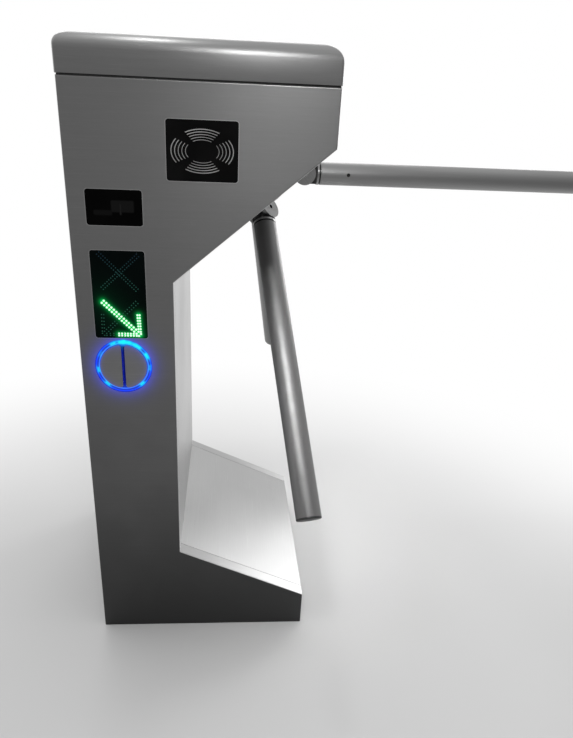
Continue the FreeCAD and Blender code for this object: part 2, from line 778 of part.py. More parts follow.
def build_hinges():
    """Two butt hinges along the lid's outer edge."""
    fixed = []
    moving = []
    pins = []
    fixed_spans, moving_spans = knuckle_spans()
    half_spacing = size("hinge_spacing") / 2
    for number, centre_y in enumerate((-half_spacing, half_spacing)):
        fixed.append(hinge_leaf(f"fixed_leaf_{number}", centre_y, -HALF_WIDTH, -1, fixed_spans))
        moving.append(hinge_leaf(f"moving_leaf_{number}", centre_y, -LID_HALF_X, 1, moving_spans))
        end = Vector(HINGE_X, centre_y + size("hinge_length") / 2, HINGE_Z)
        place = Placement(end, UPRIGHT)
        pins.append(rod(f"hinge_pin_{number}", cell("hinge_pin_radius"), cell("hinge_length"), place))
    keep(group("fixed_leaf_set", fixed), "lid_hinge_fixed_leaves")
    keep(group("moving_leaf_set", moving), "lid_hinge_moving_leaves")
    keep(group("hinge_pin_set", pins), "lid_hinge_pins")


def build_lock():
    """The lid's cam lock in the head's end: a fixed barrel, and a key plug with its tongue, unlocked."""
    barrel = size("lock_barrel_radius")
    flange = size("lock_flange_radius")
    plug = size("lock_plug_radius")
    bore = plug + size("running_clearance")
    lip = size("lock_flange_thickness")
    place = Placement(Vector(HALF_WIDTH, 0, LOCK_Z), TOWARDS_PASSAGE)
    profile = [(bore, -LOCK_LENGTH), (barrel, -LOCK_LENGTH), (barrel, 0), (flange, 0),
               (flange, lip, size("lock_flange_round")), (bore, lip)]
    keep(turned_body("lock_barrel_body", profile, place), "lid_lock_barrel")
    plug_back = -LOCK_LENGTH - size("lock_tongue_thickness")
    core = turned_body("lock_plug", [(0, plug_back), (plug, plug_back), (plug, lip), (0, lip)], place)
    slot_corner = Vector(HALF_WIDTH, -size("key_slot_width") / 2, LOCK_Z - plug / 2)
    slot_depth = cell("lock_plug_radius")
    key_slot = block("lock_key_slot", slot_depth, cell("key_slot_width"), cell("lock_plug_radius"),
                     Placement(slot_corner, Rotation()))
    half = size("lock_tongue_width") / 2
    reach = size("lock_tongue_length")
    corner = size("lock_tongue_corner")
    tongue = rounded_edges([(-half, -half, corner), (half, -half, corner), (half, reach, corner),
                            (-half, reach, corner)])
    blade_place = Placement(Vector(0, 0, LOCK_Z), SIDE_ON)
    blade = pad_body("lock_tongue", [([tongue], TONGUE_START, cell("lock_tongue_thickness"))], blade_place)
    keep(cut("lock_cam_cut", fused("lock_cam_joined", [core, blade]), key_slot), "lid_lock_cam")


# Front fittings

def build_window(name, width, height, x, z, module_depth, module_name):
    """A dark window seated from behind in its cut-out, and the module behind it."""
    gap = 2 * size("window_clearance")
    lip = 2 * size("window_lip")
    corner = size("window_corner")
    pane = rectangle(x, z, width - gap, height - gap, corner - gap / 2)
    back = rectangle(x, z, width + lip, height + lip, corner)
    back_depth = cell("window_back_thickness")
    layers = [
        ([pane], "0", f"{cell('sheet_thickness')} + {cell('window_proud')}"),
        ([back], f"-{back_depth}", back_depth),
    ]
    keep(pad_body(f"{name}_body", layers, upright(-PANEL_INNER)), name)
    margin = 2 * size("module_margin")
    board = rectangle(x, z, width - margin, height - margin, corner)
    module = [([board], f"-{back_depth} - {cell(module_depth)}", cell(module_depth))]
    keep(pad_body(f"{module_name}_body", module, upright(-PANEL_INNER)), module_name)


def build_windows():
    """The reader, the scanner and the direction display."""
    build_window("reader_window", size("reader_width"), size("reader_height"), READER_X, READER_Z,
                 "reader_module_depth", "reader_module")
    build_window("scanner_window", size("scanner_width"), size("scanner_height"), FITTING_X, SCANNER_Z,
                 "scanner_module_depth", "scanner_module")
    build_window("display_window", size("display_width"), size("display_height"), FITTING_X, DISPLAY_Z,
                 "display_board_depth", "display_board")


def half_disc(side):
    """Outline of one half of the slot's round face, with its two inner corners rounded."""
    radius = size("slot_face_radius")
    corner = size("slot_face_corner")
    edge = size("slot_width") / 2
    centre_x = edge + corner
    centre_z = math.sqrt((radius - corner) ** 2 - centre_x ** 2)
    rim_scale = radius / (radius - corner)

    def at(across, up):
        return Vector(FITTING_X + side * across, SLOT_Z + up, 0)

    edges = [Part.LineSegment(at(edge, -centre_z), at(edge, centre_z))]
    edges.append(Part.Arc(at(centre_x * rim_scale, -centre_z * rim_scale), at(radius, 0),
                          at(centre_x * rim_scale, centre_z * rim_scale)))
    for up in (-1, 1):
        towards = Vector(centre_x * rim_scale - edge, centre_z * rim_scale - centre_z, 0)
        middle = Vector(centre_x, centre_z, 0) + Vector(-towards.y, towards.x, 0).normalize() * corner
        edges.append(Part.Arc(at(edge, up * centre_z), at(middle.x, up * middle.y),
                              at(centre_x * rim_scale, up * centre_z * rim_scale)))
    return edges


def build_slot():
    """The round lit slot unit: a clear light guide, two steel half-discs, the chute and the box for cards."""
    ring = size("slot_ring_radius")
    opening = rectangle(FITTING_X, SLOT_Z, size("slot_width"), size("slot_guide_height"))
    wing_width = 2 * (ring + size("light_guide_wing"))
    wing = rectangle(FITTING_X, SLOT_Z, wing_width, size("light_guide_wing_height"), size("window_corner"))
    back = cell("light_guide_back")
    front_depth = f"({cell('sheet_thickness')} - {cell('light_guide_recess')})"
    disc = circle(FITTING_X, SLOT_Z, ring)
    layers = [([disc, opening], "0", front_depth), ([wing, opening], f"-{back}", back)]
    keep(pad_body("light_guide_body", layers, upright(-PANEL_INNER)), "slot_light_guide")
    halves = [pad_body(f"slot_face_{number}", [([half_disc(side)], front_depth, cell("slot_face_thickness"))],
                       upright(-PANEL_INNER)) for number, side in enumerate((-1, 1))]
    keep(group("slot_face_set", halves), "slot_faces")
    wall = 2 * size("chute_wall")
    chute_height = size("slot_guide_height") + wall
    tube = rectangle(FITTING_X, SLOT_Z, size("slot_width") + wall, chute_height)
    chute = [([tube, opening], f"-{back} - {cell('chute_depth')}", cell("chute_depth"))]
    keep(pad_body("card_chute_body", chute, upright(-PANEL_INNER)), "card_chute")
    box_floor = SLOT_Z - chute_height / 2 - size("card_drop") - size("card_box_height")
    corner = Vector(FITTING_X - size("card_box_width") / 2, -PANEL_INNER, box_floor)
    outside = block("card_box_outside", cell("card_box_width"), cell("card_box_depth"),
                    cell("card_box_height"), Placement(corner, Rotation()))
    wall_step = Vector(1, 1, 1) * size("card_box_wall")
    two_walls = f"2 * {cell('card_box_wall')}"
    inside = block("card_box_inside", f"{cell('card_box_width')} - {two_walls}",
                   f"{cell('card_box_depth')} - {two_walls}", cell("card_box_height"),
                   Placement(corner + wall_step, Rotation()))
    keep(cut("card_box_cut", outside, inside), "card_box")


def build_electronics():
    """The control unit and the power supply, fixed to the inside of the rear face."""
    for name in ("control_unit", "power_supply"):
        left = FITTING_X - size(f"{name}_width") / 2
        corner = Vector(left, PANEL_INNER - size(f"{name}_depth"), size(f"{name}_floor"))
        keep(block(f"{name}_case", cell(f"{name}_width"), cell(f"{name}_depth"), cell(f"{name}_height"),
                   Placement(corner, Rotation())), name)


# Gear teeth: pressure angle, and heights over and under the pitch circle in modules
PRESSURE_ANGLE = math.radians(20.0)
ADDENDUM = 0.8
DEDENDUM = 1.05

# Heights w of the mechanism's layers along the hub's axis, and places in u and v
CHASSIS_BACK = -SHEET - size("chassis_thickness")
PLATE_FRONT = CHASSIS_BACK - size("plate_spacing")
PLATE_BACK = PLATE_FRONT - size("plate_thickness")
GEAR_FRONT = PLATE_BACK - size("stack_gap")
GEAR_BACK = GEAR_FRONT - size("gear_width")
LOCK_FRONT = GEAR_BACK - size("stack_gap")
LOCK_BACK = LOCK_FRONT - size("lock_disc_thickness")
ENCODER_FRONT = LOCK_BACK - size("encoder_gap")
ENCODER_BACK = ENCODER_FRONT - size("encoder_thickness")
NUT_HEIGHT = size("hub_bolt_head_height")
SHAFT_BACK = ENCODER_BACK - NUT_HEIGHT
SHAFT_BORE = size("shaft_radius") + size("running_clearance")
MAIN_TIP = size("gear_module") * (size("main_gear_teeth") / 2 + ADDENDUM)
CENTRING_DISTANCE = size("gear_module") * (size("main_gear_teeth") + size("centring_gear_teeth")) / 2
DAMPER_DISTANCE = size("gear_module") * (size("main_gear_teeth") + size("damper_pinion_teeth")) / 2
DAMPER_AZIMUTH = math.radians(size("damper_azimuth"))
DAMPER_U = DAMPER_DISTANCE * math.cos(DAMPER_AZIMUTH)
DAMPER_V = DAMPER_DISTANCE * math.sin(DAMPER_AZIMUTH)
PAWL_TIP = size("lock_disc_radius") + size("pawl_tip_gap")
PAWL_LINE = PAWL_TIP + size("pawl_bar_offset")
PAWL_BACK = PAWL_LINE + size("pawl_width") / 2
PAWL_POST_DISTANCE = MAIN_TIP + size("pawl_post_gap") + size("post_radius")
PAWL_REACH = math.sqrt(PAWL_POST_DISTANCE ** 2 - PAWL_LINE ** 2)
SOLENOID_START = PAWL_BACK + size("solenoid_gap")
SPRING_HEIGHT = GEAR_BACK - size("crank_pin_length") / 2
SPRING_START_U = -CENTRING_DISTANCE - size("crank_radius")
SPRING_ANCHOR_U = SPRING_START_U - size("spring_length")
SENSOR_LEG_IN = max(MAIN_TIP, size("lock_disc_radius")) + size("stack_gap")
SENSOR_LEG_OUT = SENSOR_LEG_IN + size("sensor_arm")
PLATE_UP = SENSOR_LEG_OUT + size("plate_margin")
PLATE_DOWN = size("crank_pin_radius") + size("plate_margin") - SPRING_ANCHOR_U
PLATE_HALF_WIDTH = SOLENOID_START + size("solenoid_length") + size("plate_margin")


def flat_in_mechanism(w, loops, length, label):
    """A plate of the mechanism, with its back face at height w."""
    return pad_body(label, [(loops, "0", length)], in_mechanism(0, 0, w))


def plate_outline(up, down, half_width):
    """A plate's rounded outline in u and v."""
    return rectangle((up - down) / 2, 0, up + down, 2 * half_width, size("plate_corner"))


def build_chassis():
    """The plate bolted inside the slope, the bearing housing with its bearings, and the second plate."""
    bolt_hole = size("chassis_bolt_radius") + size("running_clearance")
    loops = [plate_outline(size("chassis_up"), size("chassis_down"), size("chassis_half_width")),
             circle(0, 0, size("shaft_hole_radius"))]
    loops += [circle(u, v, bolt_hole) for u, v in chassis_bolt_places()]
    keep(flat_in_mechanism(CHASSIS_BACK, loops, cell("chassis_thickness"), "chassis_body"), "chassis_plate")
    shank = size("chassis_bolt_radius")
    head = size("chassis_bolt_head_radius")
    height = size("chassis_bolt_head_height")
    profile = [(0, CHASSIS_BACK), (shank, CHASSIS_BACK), (shank, 0), (head, 0),
               (head, height, size("chassis_bolt_head_round")), (0, height)]
    bolts = [turned_body(f"chassis_bolt_{number}", profile, in_mechanism(u, v, 0))
             for number, (u, v) in enumerate(chassis_bolt_places())]
    keep(group("chassis_bolt_set", bolts), "chassis_bolts")
    outer = size("housing_radius")
    seat = size("bearing_radius") + size("running_clearance")
    flange = size("housing_flange_radius")
    shoulder = size("shaft_hole_radius")
    recess = size("bearing_recess")
    depth = size("bearing_width") + recess
    flange_back = CHASSIS_BACK - size("housing_flange_thickness")
    profile = [(seat, CHASSIS_BACK), (flange, CHASSIS_BACK), (flange, flange_back), (outer, flange_back),
               (outer, PLATE_FRONT), (seat, PLATE_FRONT), (seat, PLATE_FRONT + depth),
               (shoulder, PLATE_FRONT + depth), (shoulder, CHASSIS_BACK - depth),
               (seat, CHASSIS_BACK - depth)]
    keep(turned_body("housing_body", profile, MECHANISM), "bearing_housing")
    rings = [bearing("bearing_back", PLATE_FRONT + recess), bearing("bearing_front", CHASSIS_BACK - depth)]
    keep(group("bearing_set", rings), "bearings")
    loops = [plate_outline(PLATE_UP, PLATE_DOWN, PLATE_HALF_WIDTH), circle(0, 0, size("shaft_hole_radius")),
             circle(DAMPER_U, DAMPER_V, size("damper_hole_radius"))]
    plate = flat_in_mechanism(PLATE_BACK, loops, cell("plate_thickness"), "mechanism_plate_body")
    keep(plate, "mechanism_plate")


def bearing(label, low):
    """A sealed ball bearing with shallow shields between its two races."""
    outer = size("bearing_radius")
    outer_race = outer - size("bearing_race")
    inner_race = SHAFT_BORE + size("bearing_race")
    step = size("bearing_shield_recess")
    high = low + size("bearing_width")
    profile = [(SHAFT_BORE, low), (inner_race, low), (inner_race, low + step), (outer_race, low + step),
               (outer_race, low), (outer, low), (outer, high), (outer_race, high), (outer_race, high - step),
               (inner_race, high - step), (inner_race, high), (SHAFT_BORE, high)]
    return turned_body(label, profile, MECHANISM)


def build_posts():
    """The pillars between the plates, and the posts for the pawl, the centring gear and its spring."""
    pieces = []
    across = size("pillar_across")
    for u in (size("pillar_up"), -size("pillar_down")):
        for v in (-across, across):
            pieces.append(rod(f"pillar_{len(pieces)}", cell("pillar_radius"), cell("plate_spacing"),
                              in_mechanism(u, v, PLATE_FRONT)))
    pawl_depth = PLATE_BACK - LOCK_BACK
    pieces.append(rod("pawl_post", cell("post_radius"), f"{pawl_depth}",
                      in_mechanism(PAWL_REACH, PAWL_LINE, LOCK_BACK)))
    gear_depth = PLATE_BACK - GEAR_BACK
    pieces.append(rod("gear_post", cell("post_radius"), f"{gear_depth}",
                      in_mechanism(-CENTRING_DISTANCE, 0, GEAR_BACK)))
    anchor_end = GEAR_BACK - size("crank_pin_length")
    pieces.append(rod("spring_anchor", cell("crank_pin_radius"), f"{PLATE_BACK - anchor_end}",
                      in_mechanism(SPRING_ANCHOR_U, 0, anchor_end)))
    keep(group("post_set", pieces), "mechanism_pillars")


def build_lock_drive():
    """The solenoid, its plunger and the pawl that drops into the lock disc's notches."""
    half = size("solenoid_width") / 2
    middle_w = (LOCK_FRONT + LOCK_BACK) / 2
    depth = PLATE_BACK - (middle_w - half)
    case = block("solenoid_case", cell("solenoid_width"), cell("solenoid_length"), f"{depth}",
                 in_mechanism(-half, SOLENOID_START, middle_w - half))
    bore_radius = f"{cell('plunger_radius')} + {cell('running_clearance')}"
    bore = rod("solenoid_bore", bore_radius, f"2 * {cell('solenoid_length')}",
               in_mechanism(0, SOLENOID_START - half, middle_w, TOWARDS_REAR))
    keep(cut("solenoid_cut", case, bore), "lock_solenoid")
    tip = size("plunger_tip_gap")
    tip_radius = size("plunger_tip_radius")
    radius = size("plunger_radius")
    neck = size("solenoid_gap") - tip
    end = size("solenoid_gap") + size("plunger_inside")
    profile = [(0, tip), (tip_radius, tip, size("plunger_tip_round")), (tip_radius, neck), (radius, neck),
               (radius, end), (0, end)]
    place = in_mechanism(0, PAWL_BACK, middle_w, TOWARDS_REAR)
    keep(turned_body("plunger_body", profile, place), "solenoid_plunger")
    eye_bore = size("post_radius") + size("running_clearance")
    eye_wall = size("pawl_eye_wall")
    bar_end = PAWL_REACH - eye_bore - eye_wall / 2
    bar_start = -size("pawl_tail")
    bar = rectangle((bar_start + bar_end) / 2, PAWL_LINE, bar_end - bar_start, size("pawl_width"))
    tooth = rectangle(-size("pawl_tooth_setback"), (PAWL_TIP + PAWL_LINE) / 2, size("pawl_tooth_width"),
                      PAWL_LINE - PAWL_TIP)
    eye = [circle(PAWL_REACH, PAWL_LINE, eye_bore + eye_wall), circle(PAWL_REACH, PAWL_LINE, eye_bore)]
    thickness = cell("lock_disc_thickness")
    layers = [(eye, "0", thickness), ([bar], "0", thickness), ([tooth], "0", thickness)]
    keep(pad_body("pawl_body", layers, in_mechanism(0, 0, LOCK_BACK)), "lock_pawl")


def build_sensor():
    """A fork sensor that straddles the encoder disc's rim, on a leg from the second plate."""
    rim = size("encoder_radius")
    middle = (ENCODER_FRONT + ENCODER_BACK) / 2
    half_slot = size("sensor_slot") / 2
    arm = half_slot + size("sensor_arm")
    tip = rim - size("sensor_overlap")
    root = rim + half_slot
    outline = [(SENSOR_LEG_OUT, PLATE_BACK), (SENSOR_LEG_OUT, middle - arm), (tip, middle - arm),
               (tip, middle - half_slot), (root, middle - half_slot), (root, middle + half_slot),
               (tip, middle + half_slot), (tip, middle + arm), (SENSOR_LEG_IN, middle + arm),
               (SENSOR_LEG_IN, PLATE_BACK)]
    layers = [([rounded_edges(outline)], f"-{cell('sensor_width')} / 2", cell("sensor_width"))]
    keep(pad_body("sensor_body", layers, in_mechanism(0, 0, 0, UPRIGHT)), "position_sensor")


# Gears

def gear_outline(teeth, turn):
    """Involute teeth as straight facets; turn is the azimuth of a tooth's middle, in radians."""
    module = size("gear_module")
    pitch = module * teeth / 2
    base = pitch * math.cos(PRESSURE_ANGLE)
    root = pitch - DEDENDUM * module
    tip = pitch + ADDENDUM * module
    half_tooth = (math.pi * module / 2 - size("gear_backlash")) / (2 * pitch)
    at_pitch = math.tan(PRESSURE_ANGLE) - PRESSURE_ANGLE
    flank = []
    for radius in (root, (root + pitch) / 2, pitch, (pitch + tip) / 2, tip):
        angle = math.acos(min(1.0, base / radius))
        flank.append((radius, half_tooth + at_pitch - (math.tan(angle) - angle)))
    corners = []
    for number in range(int(teeth)):
        middle = turn + number * 2 * math.pi / teeth
        for radius, half in flank:
            corners.append((radius * math.cos(middle - half), radius * math.sin(middle - half)))
        for radius, half in reversed(flank):
            corners.append((radius * math.cos(middle + half), radius * math.sin(middle + half)))
    return rounded_edges(corners)


def meshing_turn(azimuth, teeth):
    """Azimuth of a follower's tooth so that its gap meets the main gear's nearest tooth."""
    main_teeth = size("main_gear_teeth")
    main_pitch = 2 * math.pi / main_teeth
    offset = azimuth - round(azimuth / main_pitch) * main_pitch
    return azimuth + math.pi + offset * main_teeth / teeth + math.pi / teeth


def build_gears():
    """The main gear on the shaft, the centring gear with its crank pin, and the damper with its pinion."""
    loops = [gear_outline(size("main_gear_teeth"), 0.0), circle(0, 0, SHAFT_BORE)]
    keep(flat_in_mechanism(GEAR_BACK, loops, cell("gear_width"), "main_gear_body"), "main_gear")
    teeth = size("centring_gear_teeth")
    loops = [gear_outline(teeth, meshing_turn(math.pi, teeth)),
             circle(0, 0, size("post_radius") + size("running_clearance"))]
    wheel = pad_body("centring_wheel", [(loops, "0", cell("gear_width"))],
                     in_mechanism(-CENTRING_DISTANCE, 0, GEAR_BACK))
    crank_length = f"{cell('crank_pin_length')} + {cell('gear_width')} / 2"
    crank = rod("crank_pin", cell("crank_pin_radius"), crank_length,
                in_mechanism(SPRING_START_U, 0, GEAR_BACK - size("crank_pin_length")))
    keep(fused("centring_gear_joined", [wheel, crank]), "centring_gear")
    teeth = size("damper_pinion_teeth")
    outline = gear_outline(teeth, meshing_turn(DAMPER_AZIMUTH, teeth))
    place = in_mechanism(DAMPER_U, DAMPER_V, GEAR_BACK)
    pinion = pad_body("pinion_wheel", [([outline], "0", cell("gear_width"))], place)
    spindle_length = f"{PLATE_FRONT - GEAR_BACK} + {cell('damper_shaft_depth')}"
    spindle = rod("pinion_spindle", cell("damper_shaft_radius"), spindle_length, place)
    keep(fused("damper_pinion_joined", [pinion, spindle]), "damper_pinion")
    bore = size("damper_shaft_radius") + size("running_clearance")
    floor = size("damper_bore_depth")
    outer = size("damper_radius")
    end = size("damper_length")
    profile = [(bore, 0), (outer, 0), (outer, end, size("damper_edge_round")), (0, end), (0, floor),
               (bore, floor)]
    keep(turned_body("damper_body", profile, in_mechanism(DAMPER_U, DAMPER_V, PLATE_FRONT)), "damper")


def build_spring():
    """The centring spring between the crank pin and its anchor, as a capped tube with two eyes."""
    wire = size("spring_wire")
    radius = size("spring_radius")
    eye = size("crank_pin_radius") + wire
    pieces = []
    for number, u in enumerate((SPRING_START_U, SPRING_ANCHOR_U)):
        ring = doc.addObject("Part::Torus", f"spring_eye_{number}")
        ring.setExpression("Radius1", f"{cell('crank_pin_radius')} + {cell('spring_wire')}")
        ring.setExpression("Radius2", f"{cell('spring_wire')} / 2")
        ring.Placement = in_mechanism(u, 0, SPRING_HEIGHT)
        pieces.append(ring)
    neck = eye + 2 * wire
    length = size("spring_length") - 2 * neck
    stem = neck - eye
    thin = size("spring_stem_radius")
    bore = radius - wire
    profile = [(0, -stem), (thin, -stem), (thin, 0), (radius, 0), (radius, length), (thin, length),
               (thin, length + stem), (0, length + stem), (0, length - wire), (bore, length - wire),
               (bore, wire), (0, wire)]
    down_slope = Rotation(Vector(0, 1, 0), -90)
    place = in_mechanism(SPRING_START_U - neck, 0, SPRING_HEIGHT, down_slope)
    pieces.append(turned_body("spring_coil", profile, place))
    keep(fused("spring_joined", pieces), "centring_spring")


# Turning part

def notched_disc():
    """The lock disc's outline: round, with evenly spaced notches, one of them facing the pawl."""
    radius = size("lock_disc_radius")
    floor = radius - size("lock_notch_depth")
    half = size("lock_notch_width") / 2
    count = int(size("lock_notch_count"))
    rim_half = math.asin(half / radius)
    rim_reach = math.sqrt(radius ** 2 - half ** 2)
    step = 2 * math.pi / count
    edges = []
    for number in range(count):
        along = Vector(math.cos(math.pi / 2 + number * step), math.sin(math.pi / 2 + number * step), 0)
        side = Vector(-along.y, along.x, 0)
        points = [along * rim_reach - side * half, along * floor - side * half, along * floor + side * half,
                  along * rim_reach + side * half]
        edges += [Part.LineSegment(points[index], points[index + 1]) for index in range(3)]
        first = math.pi / 2 + number * step + rim_half
        last = math.pi / 2 + (number + 1) * step - rim_half
        rim = [Vector(radius * math.cos(angle), radius * math.sin(angle), 0)
               for angle in (first, (first + last) / 2, last)]
        edges.append(Part.Arc(*rim))
    return edges


def build_rotor():
    """The main shaft with the lock and encoder discs; returns the hub's centre bolt and the shaft's nut."""
    radius = size("shaft_radius")
    nose = size("hub_boss_height") - NUT_HEIGHT
    tapped = size("hub_bolt_radius") + size("running_clearance")
    hole_end = -size("hub_bolt_hole_depth")
    profile = [(0, SHAFT_BACK), (radius, SHAFT_BACK), (radius, nose), (tapped, nose), (tapped, hole_end),
               (0, hole_end)]
    keep(turned_body("shaft_body", profile, MECHANISM), "main_shaft")
    collar_radius = size("shaft_collar_radius")
    collar = [circle(0, 0, collar_radius), circle(0, 0, SHAFT_BORE)]
    layers = [([notched_disc(), circle(0, 0, SHAFT_BORE)], "0", cell("lock_disc_thickness")),
              (collar, cell("lock_disc_thickness"), cell("stack_gap"))]
    keep(pad_body("lock_disc_body", layers, in_mechanism(0, 0, LOCK_BACK)), "lock_disc")
    ring = size("encoder_hole_ring")
    count = int(size("encoder_hole_count"))
    disc = [circle(0, 0, size("encoder_radius")), circle(0, 0, SHAFT_BORE)]
    for number in range(count):
        azimuth = 2 * math.pi * number / count
        disc.append(circle(ring * math.cos(azimuth), ring * math.sin(azimuth), size("encoder_hole_radius")))
    thickness = cell("encoder_thickness")
    layers = [(disc, "0", thickness), (collar, thickness, cell("encoder_gap"))]
    keep(pad_body("encoder_disc_body", layers, in_mechanism(0, 0, ENCODER_BACK)), "encoder_disc")
    bolt = size("hub_bolt_radius")
    head = size("hub_bolt_head_radius")
    top = size("hub_boss_height")
    head_top = top + NUT_HEIGHT
    profile = [(0, 0), (bolt, 0), (bolt, top), (head, top), (head, head_top, size("hub_bolt_head_round")),
               (0, head_top)]
    centre_bolt = turned_body("hub_bolt", profile, MECHANISM)
    hexagon = [math.radians(60.0 * side) for side in range(6)]
    corners = [(collar_radius * math.cos(angle), collar_radius * math.sin(angle)) for angle in hexagon]
    nut_loops = [rounded_edges(corners), circle(0, 0, SHAFT_BORE)]
    nut = flat_in_mechanism(SHAFT_BACK, nut_loops, f"{NUT_HEIGHT}", "shaft_nut")
    return [centre_bolt, nut]


# The arms lean from the hub's axis by this angle, so that the blocking arm is level
CONE_ANGLE = 90.0 - size("slope_angle")
PIVOT_RADIUS = size("arm_pivot_distance") * math.sin(math.radians(CONE_ANGLE))
PIVOT_HEIGHT = size("arm_pivot_height")
MEETING_HEIGHT = PIVOT_HEIGHT - size("arm_pivot_distance") * math.cos(math.radians(CONE_ANGLE))
FORK_OUT = size("tongue_thickness") / 2 + size("tongue_clearance") + size("ear_thickness")
# Distances along an arm from the point where the three arms' axes meet
COLLAR_START = size("arm_pivot_distance") + size("collar_from_pivot")
COLLAR_END = COLLAR_START + size("collar_width")
TUBE_START = COLLAR_END + size("collar_groove")
TUBE_END = TUBE_START + size("tube_length")
SPIGOT_END = TUBE_START + size("spigot_length")
SCREW_PLACE = SPIGOT_END - size("set_screw_from_spigot_end")


def arm_frame(arm):
    """Placement of an arm's own frame: Z out along the arm from the meeting point, Y along its pivot."""
    turn = Placement(Vector(), Rotation(Vector(0, 0, 1), ARM_AZIMUTHS[arm]))
    lean = Placement(Vector(0, 0, MEETING_HEIGHT), Rotation(Vector(0, 1, 0), CONE_ANGLE))
    return MECHANISM.multiply(turn).multiply(lean)


def on_arm(arm, x, y, z, turn=Rotation()):
    """Placement at a point of an arm's frame."""
    return arm_frame(arm).multiply(Placement(Vector(x, y, z), turn))


def build_hub():
    """The hub: a thin disc with a centre boss, and a fork of two rounded ears for each arm."""
    low = size("hub_gap")
    face = low + size("hub_disc_thickness")
    top = size("hub_boss_height")
    nose = top - NUT_HEIGHT
    boss = size("hub_boss_radius")
    bolt = size("hub_bolt_radius") + size("running_clearance")
    disc = size("hub_disc_radius")
    profile = [(SHAFT_BORE, low), (disc, low), (disc, face), (boss, face), (boss, top, size("hub_boss_round")),
               (bolt, top), (bolt, nose), (SHAFT_BORE, nose)]
    pieces = [turned_body("hub_disc", profile, MECHANISM)]
    ear = size("ear_radius")
    left = PIVOT_RADIUS - ear
    right = PIVOT_RADIUS + ear
    outline = [Part.LineSegment(Vector(left, low, 0), Vector(right, low, 0)),
               Part.LineSegment(Vector(right, low, 0), Vector(right, PIVOT_HEIGHT, 0)),
               Part.Arc(Vector(right, PIVOT_HEIGHT, 0), Vector(PIVOT_RADIUS, PIVOT_HEIGHT + ear, 0),
                        Vector(left, PIVOT_HEIGHT, 0)),
               Part.LineSegment(Vector(left, PIVOT_HEIGHT, 0), Vector(left, low, 0))]
    hole = circle(PIVOT_RADIUS, PIVOT_HEIGHT, size("pivot_pin_radius") + size("running_clearance"))
    fork = f"({cell('tongue_thickness')} / 2 + {cell('tongue_clearance')})"
    thick = cell("ear_thickness")
    for arm, azimuth in ARM_AZIMUTHS.items():
        turn = Rotation(Vector(0, 0, 1), azimuth).multiply(UPRIGHT)
        for side, start in enumerate((fork, f"-{fork} - {thick}")):
            layer = ([outline, hole], start, thick)
            pieces.append(pad_body(f"ear_{arm}_{side}", [layer], in_mechanism(0, 0, 0, turn)))
    keep(fused("hub_joined", pieces), "hub")


def screw_hole(label, arm):
    """The set screw's hole through the tube and into the knuckle's spigot."""
    radius = f"{cell('set_screw_radius')} + {cell('running_clearance')}"
    start = size("tube_radius") - size("set_screw_length")
    place = on_arm(arm, 0, start, SCREW_PLACE, TOWARDS_REAR)
    return rod(label, radius, f"2 * {cell('set_screw_length')}", place)


def build_arm(arm):
    """One arm: keeps its knuckle and tube, and returns its end plug, set screw and pivot pin."""
    pivot = size("arm_pivot_distance")
    radius = size("tongue_radius")
    outline = [Part.Arc(Vector(-radius, pivot, 0), Vector(0, pivot - radius, 0), Vector(radius, pivot, 0)),
               Part.LineSegment(Vector(radius, pivot, 0), Vector(radius, COLLAR_START, 0)),
               Part.LineSegment(Vector(radius, COLLAR_START, 0), Vector(-radius, COLLAR_START, 0)),
               Part.LineSegment(Vector(-radius, COLLAR_START, 0), Vector(-radius, pivot, 0))]
    hole = circle(0, pivot, size("pivot_pin_radius") + size("running_clearance"))
    layer = ([outline, hole], f"-{cell('tongue_thickness')} / 2", cell("tongue_thickness"))
    tongue = pad_body(f"tongue_{arm}", [layer], on_arm(arm, 0, 0, 0, UPRIGHT))
    outer = size("tube_radius")
    bore = outer - size("tube_wall")
    spigot = bore - size("spigot_clearance")
    groove = outer - size("groove_depth")
    profile = [(0, COLLAR_START), (outer, COLLAR_START), (outer, COLLAR_END), (groove, COLLAR_END),
               (groove, TUBE_START), (spigot, TUBE_START), (spigot, SPIGOT_END, size("spigot_end_round")),
               (0, SPIGOT_END)]
    turned = turned_body(f"spigot_{arm}", profile, arm_frame(arm))
    solid = fused(f"knuckle_{arm}_joined", [tongue, turned])
    keep(cut(f"knuckle_{arm}_drilled", solid, screw_hole(f"knuckle_{arm}_hole", arm)), f"arm_{arm}_knuckle")
    wall = [(bore, TUBE_START), (outer, TUBE_START), (outer, TUBE_END), (bore, TUBE_END)]
    tube = turned_body(f"tube_{arm}", wall, arm_frame(arm))
    keep(cut(f"tube_{arm}_drilled", tube, screw_hole(f"tube_{arm}_hole", arm)), f"arm_{arm}_tube")
    cap = TUBE_END + size("plug_cap")
    crown = cap - size("plug_crown")
    inside = TUBE_END - size("plug_depth")
    profile = [(0, inside), (spigot, inside), (spigot, TUBE_END), (outer, TUBE_END),
               (outer, crown, size("plug_edge_round")), (0, cap)]
    plug = turned_body(f"plug_{arm}", profile, arm_frame(arm))
    screw_foot = outer - size("set_screw_length") + size("running_clearance")
    screw = rod(f"set_screw_{arm}", cell("set_screw_radius"), cell("set_screw_length"),
                on_arm(arm, 0, screw_foot, SCREW_PLACE, TOWARDS_REAR))
    pin_half = FORK_OUT + size("pivot_pin_proud")
    pin = rod(f"pivot_pin_{arm}", cell("pivot_pin_radius"), f"{2 * pin_half}",
              on_arm(arm, 0, -pin_half, pivot, TOWARDS_REAR))
    return plug, screw, pin


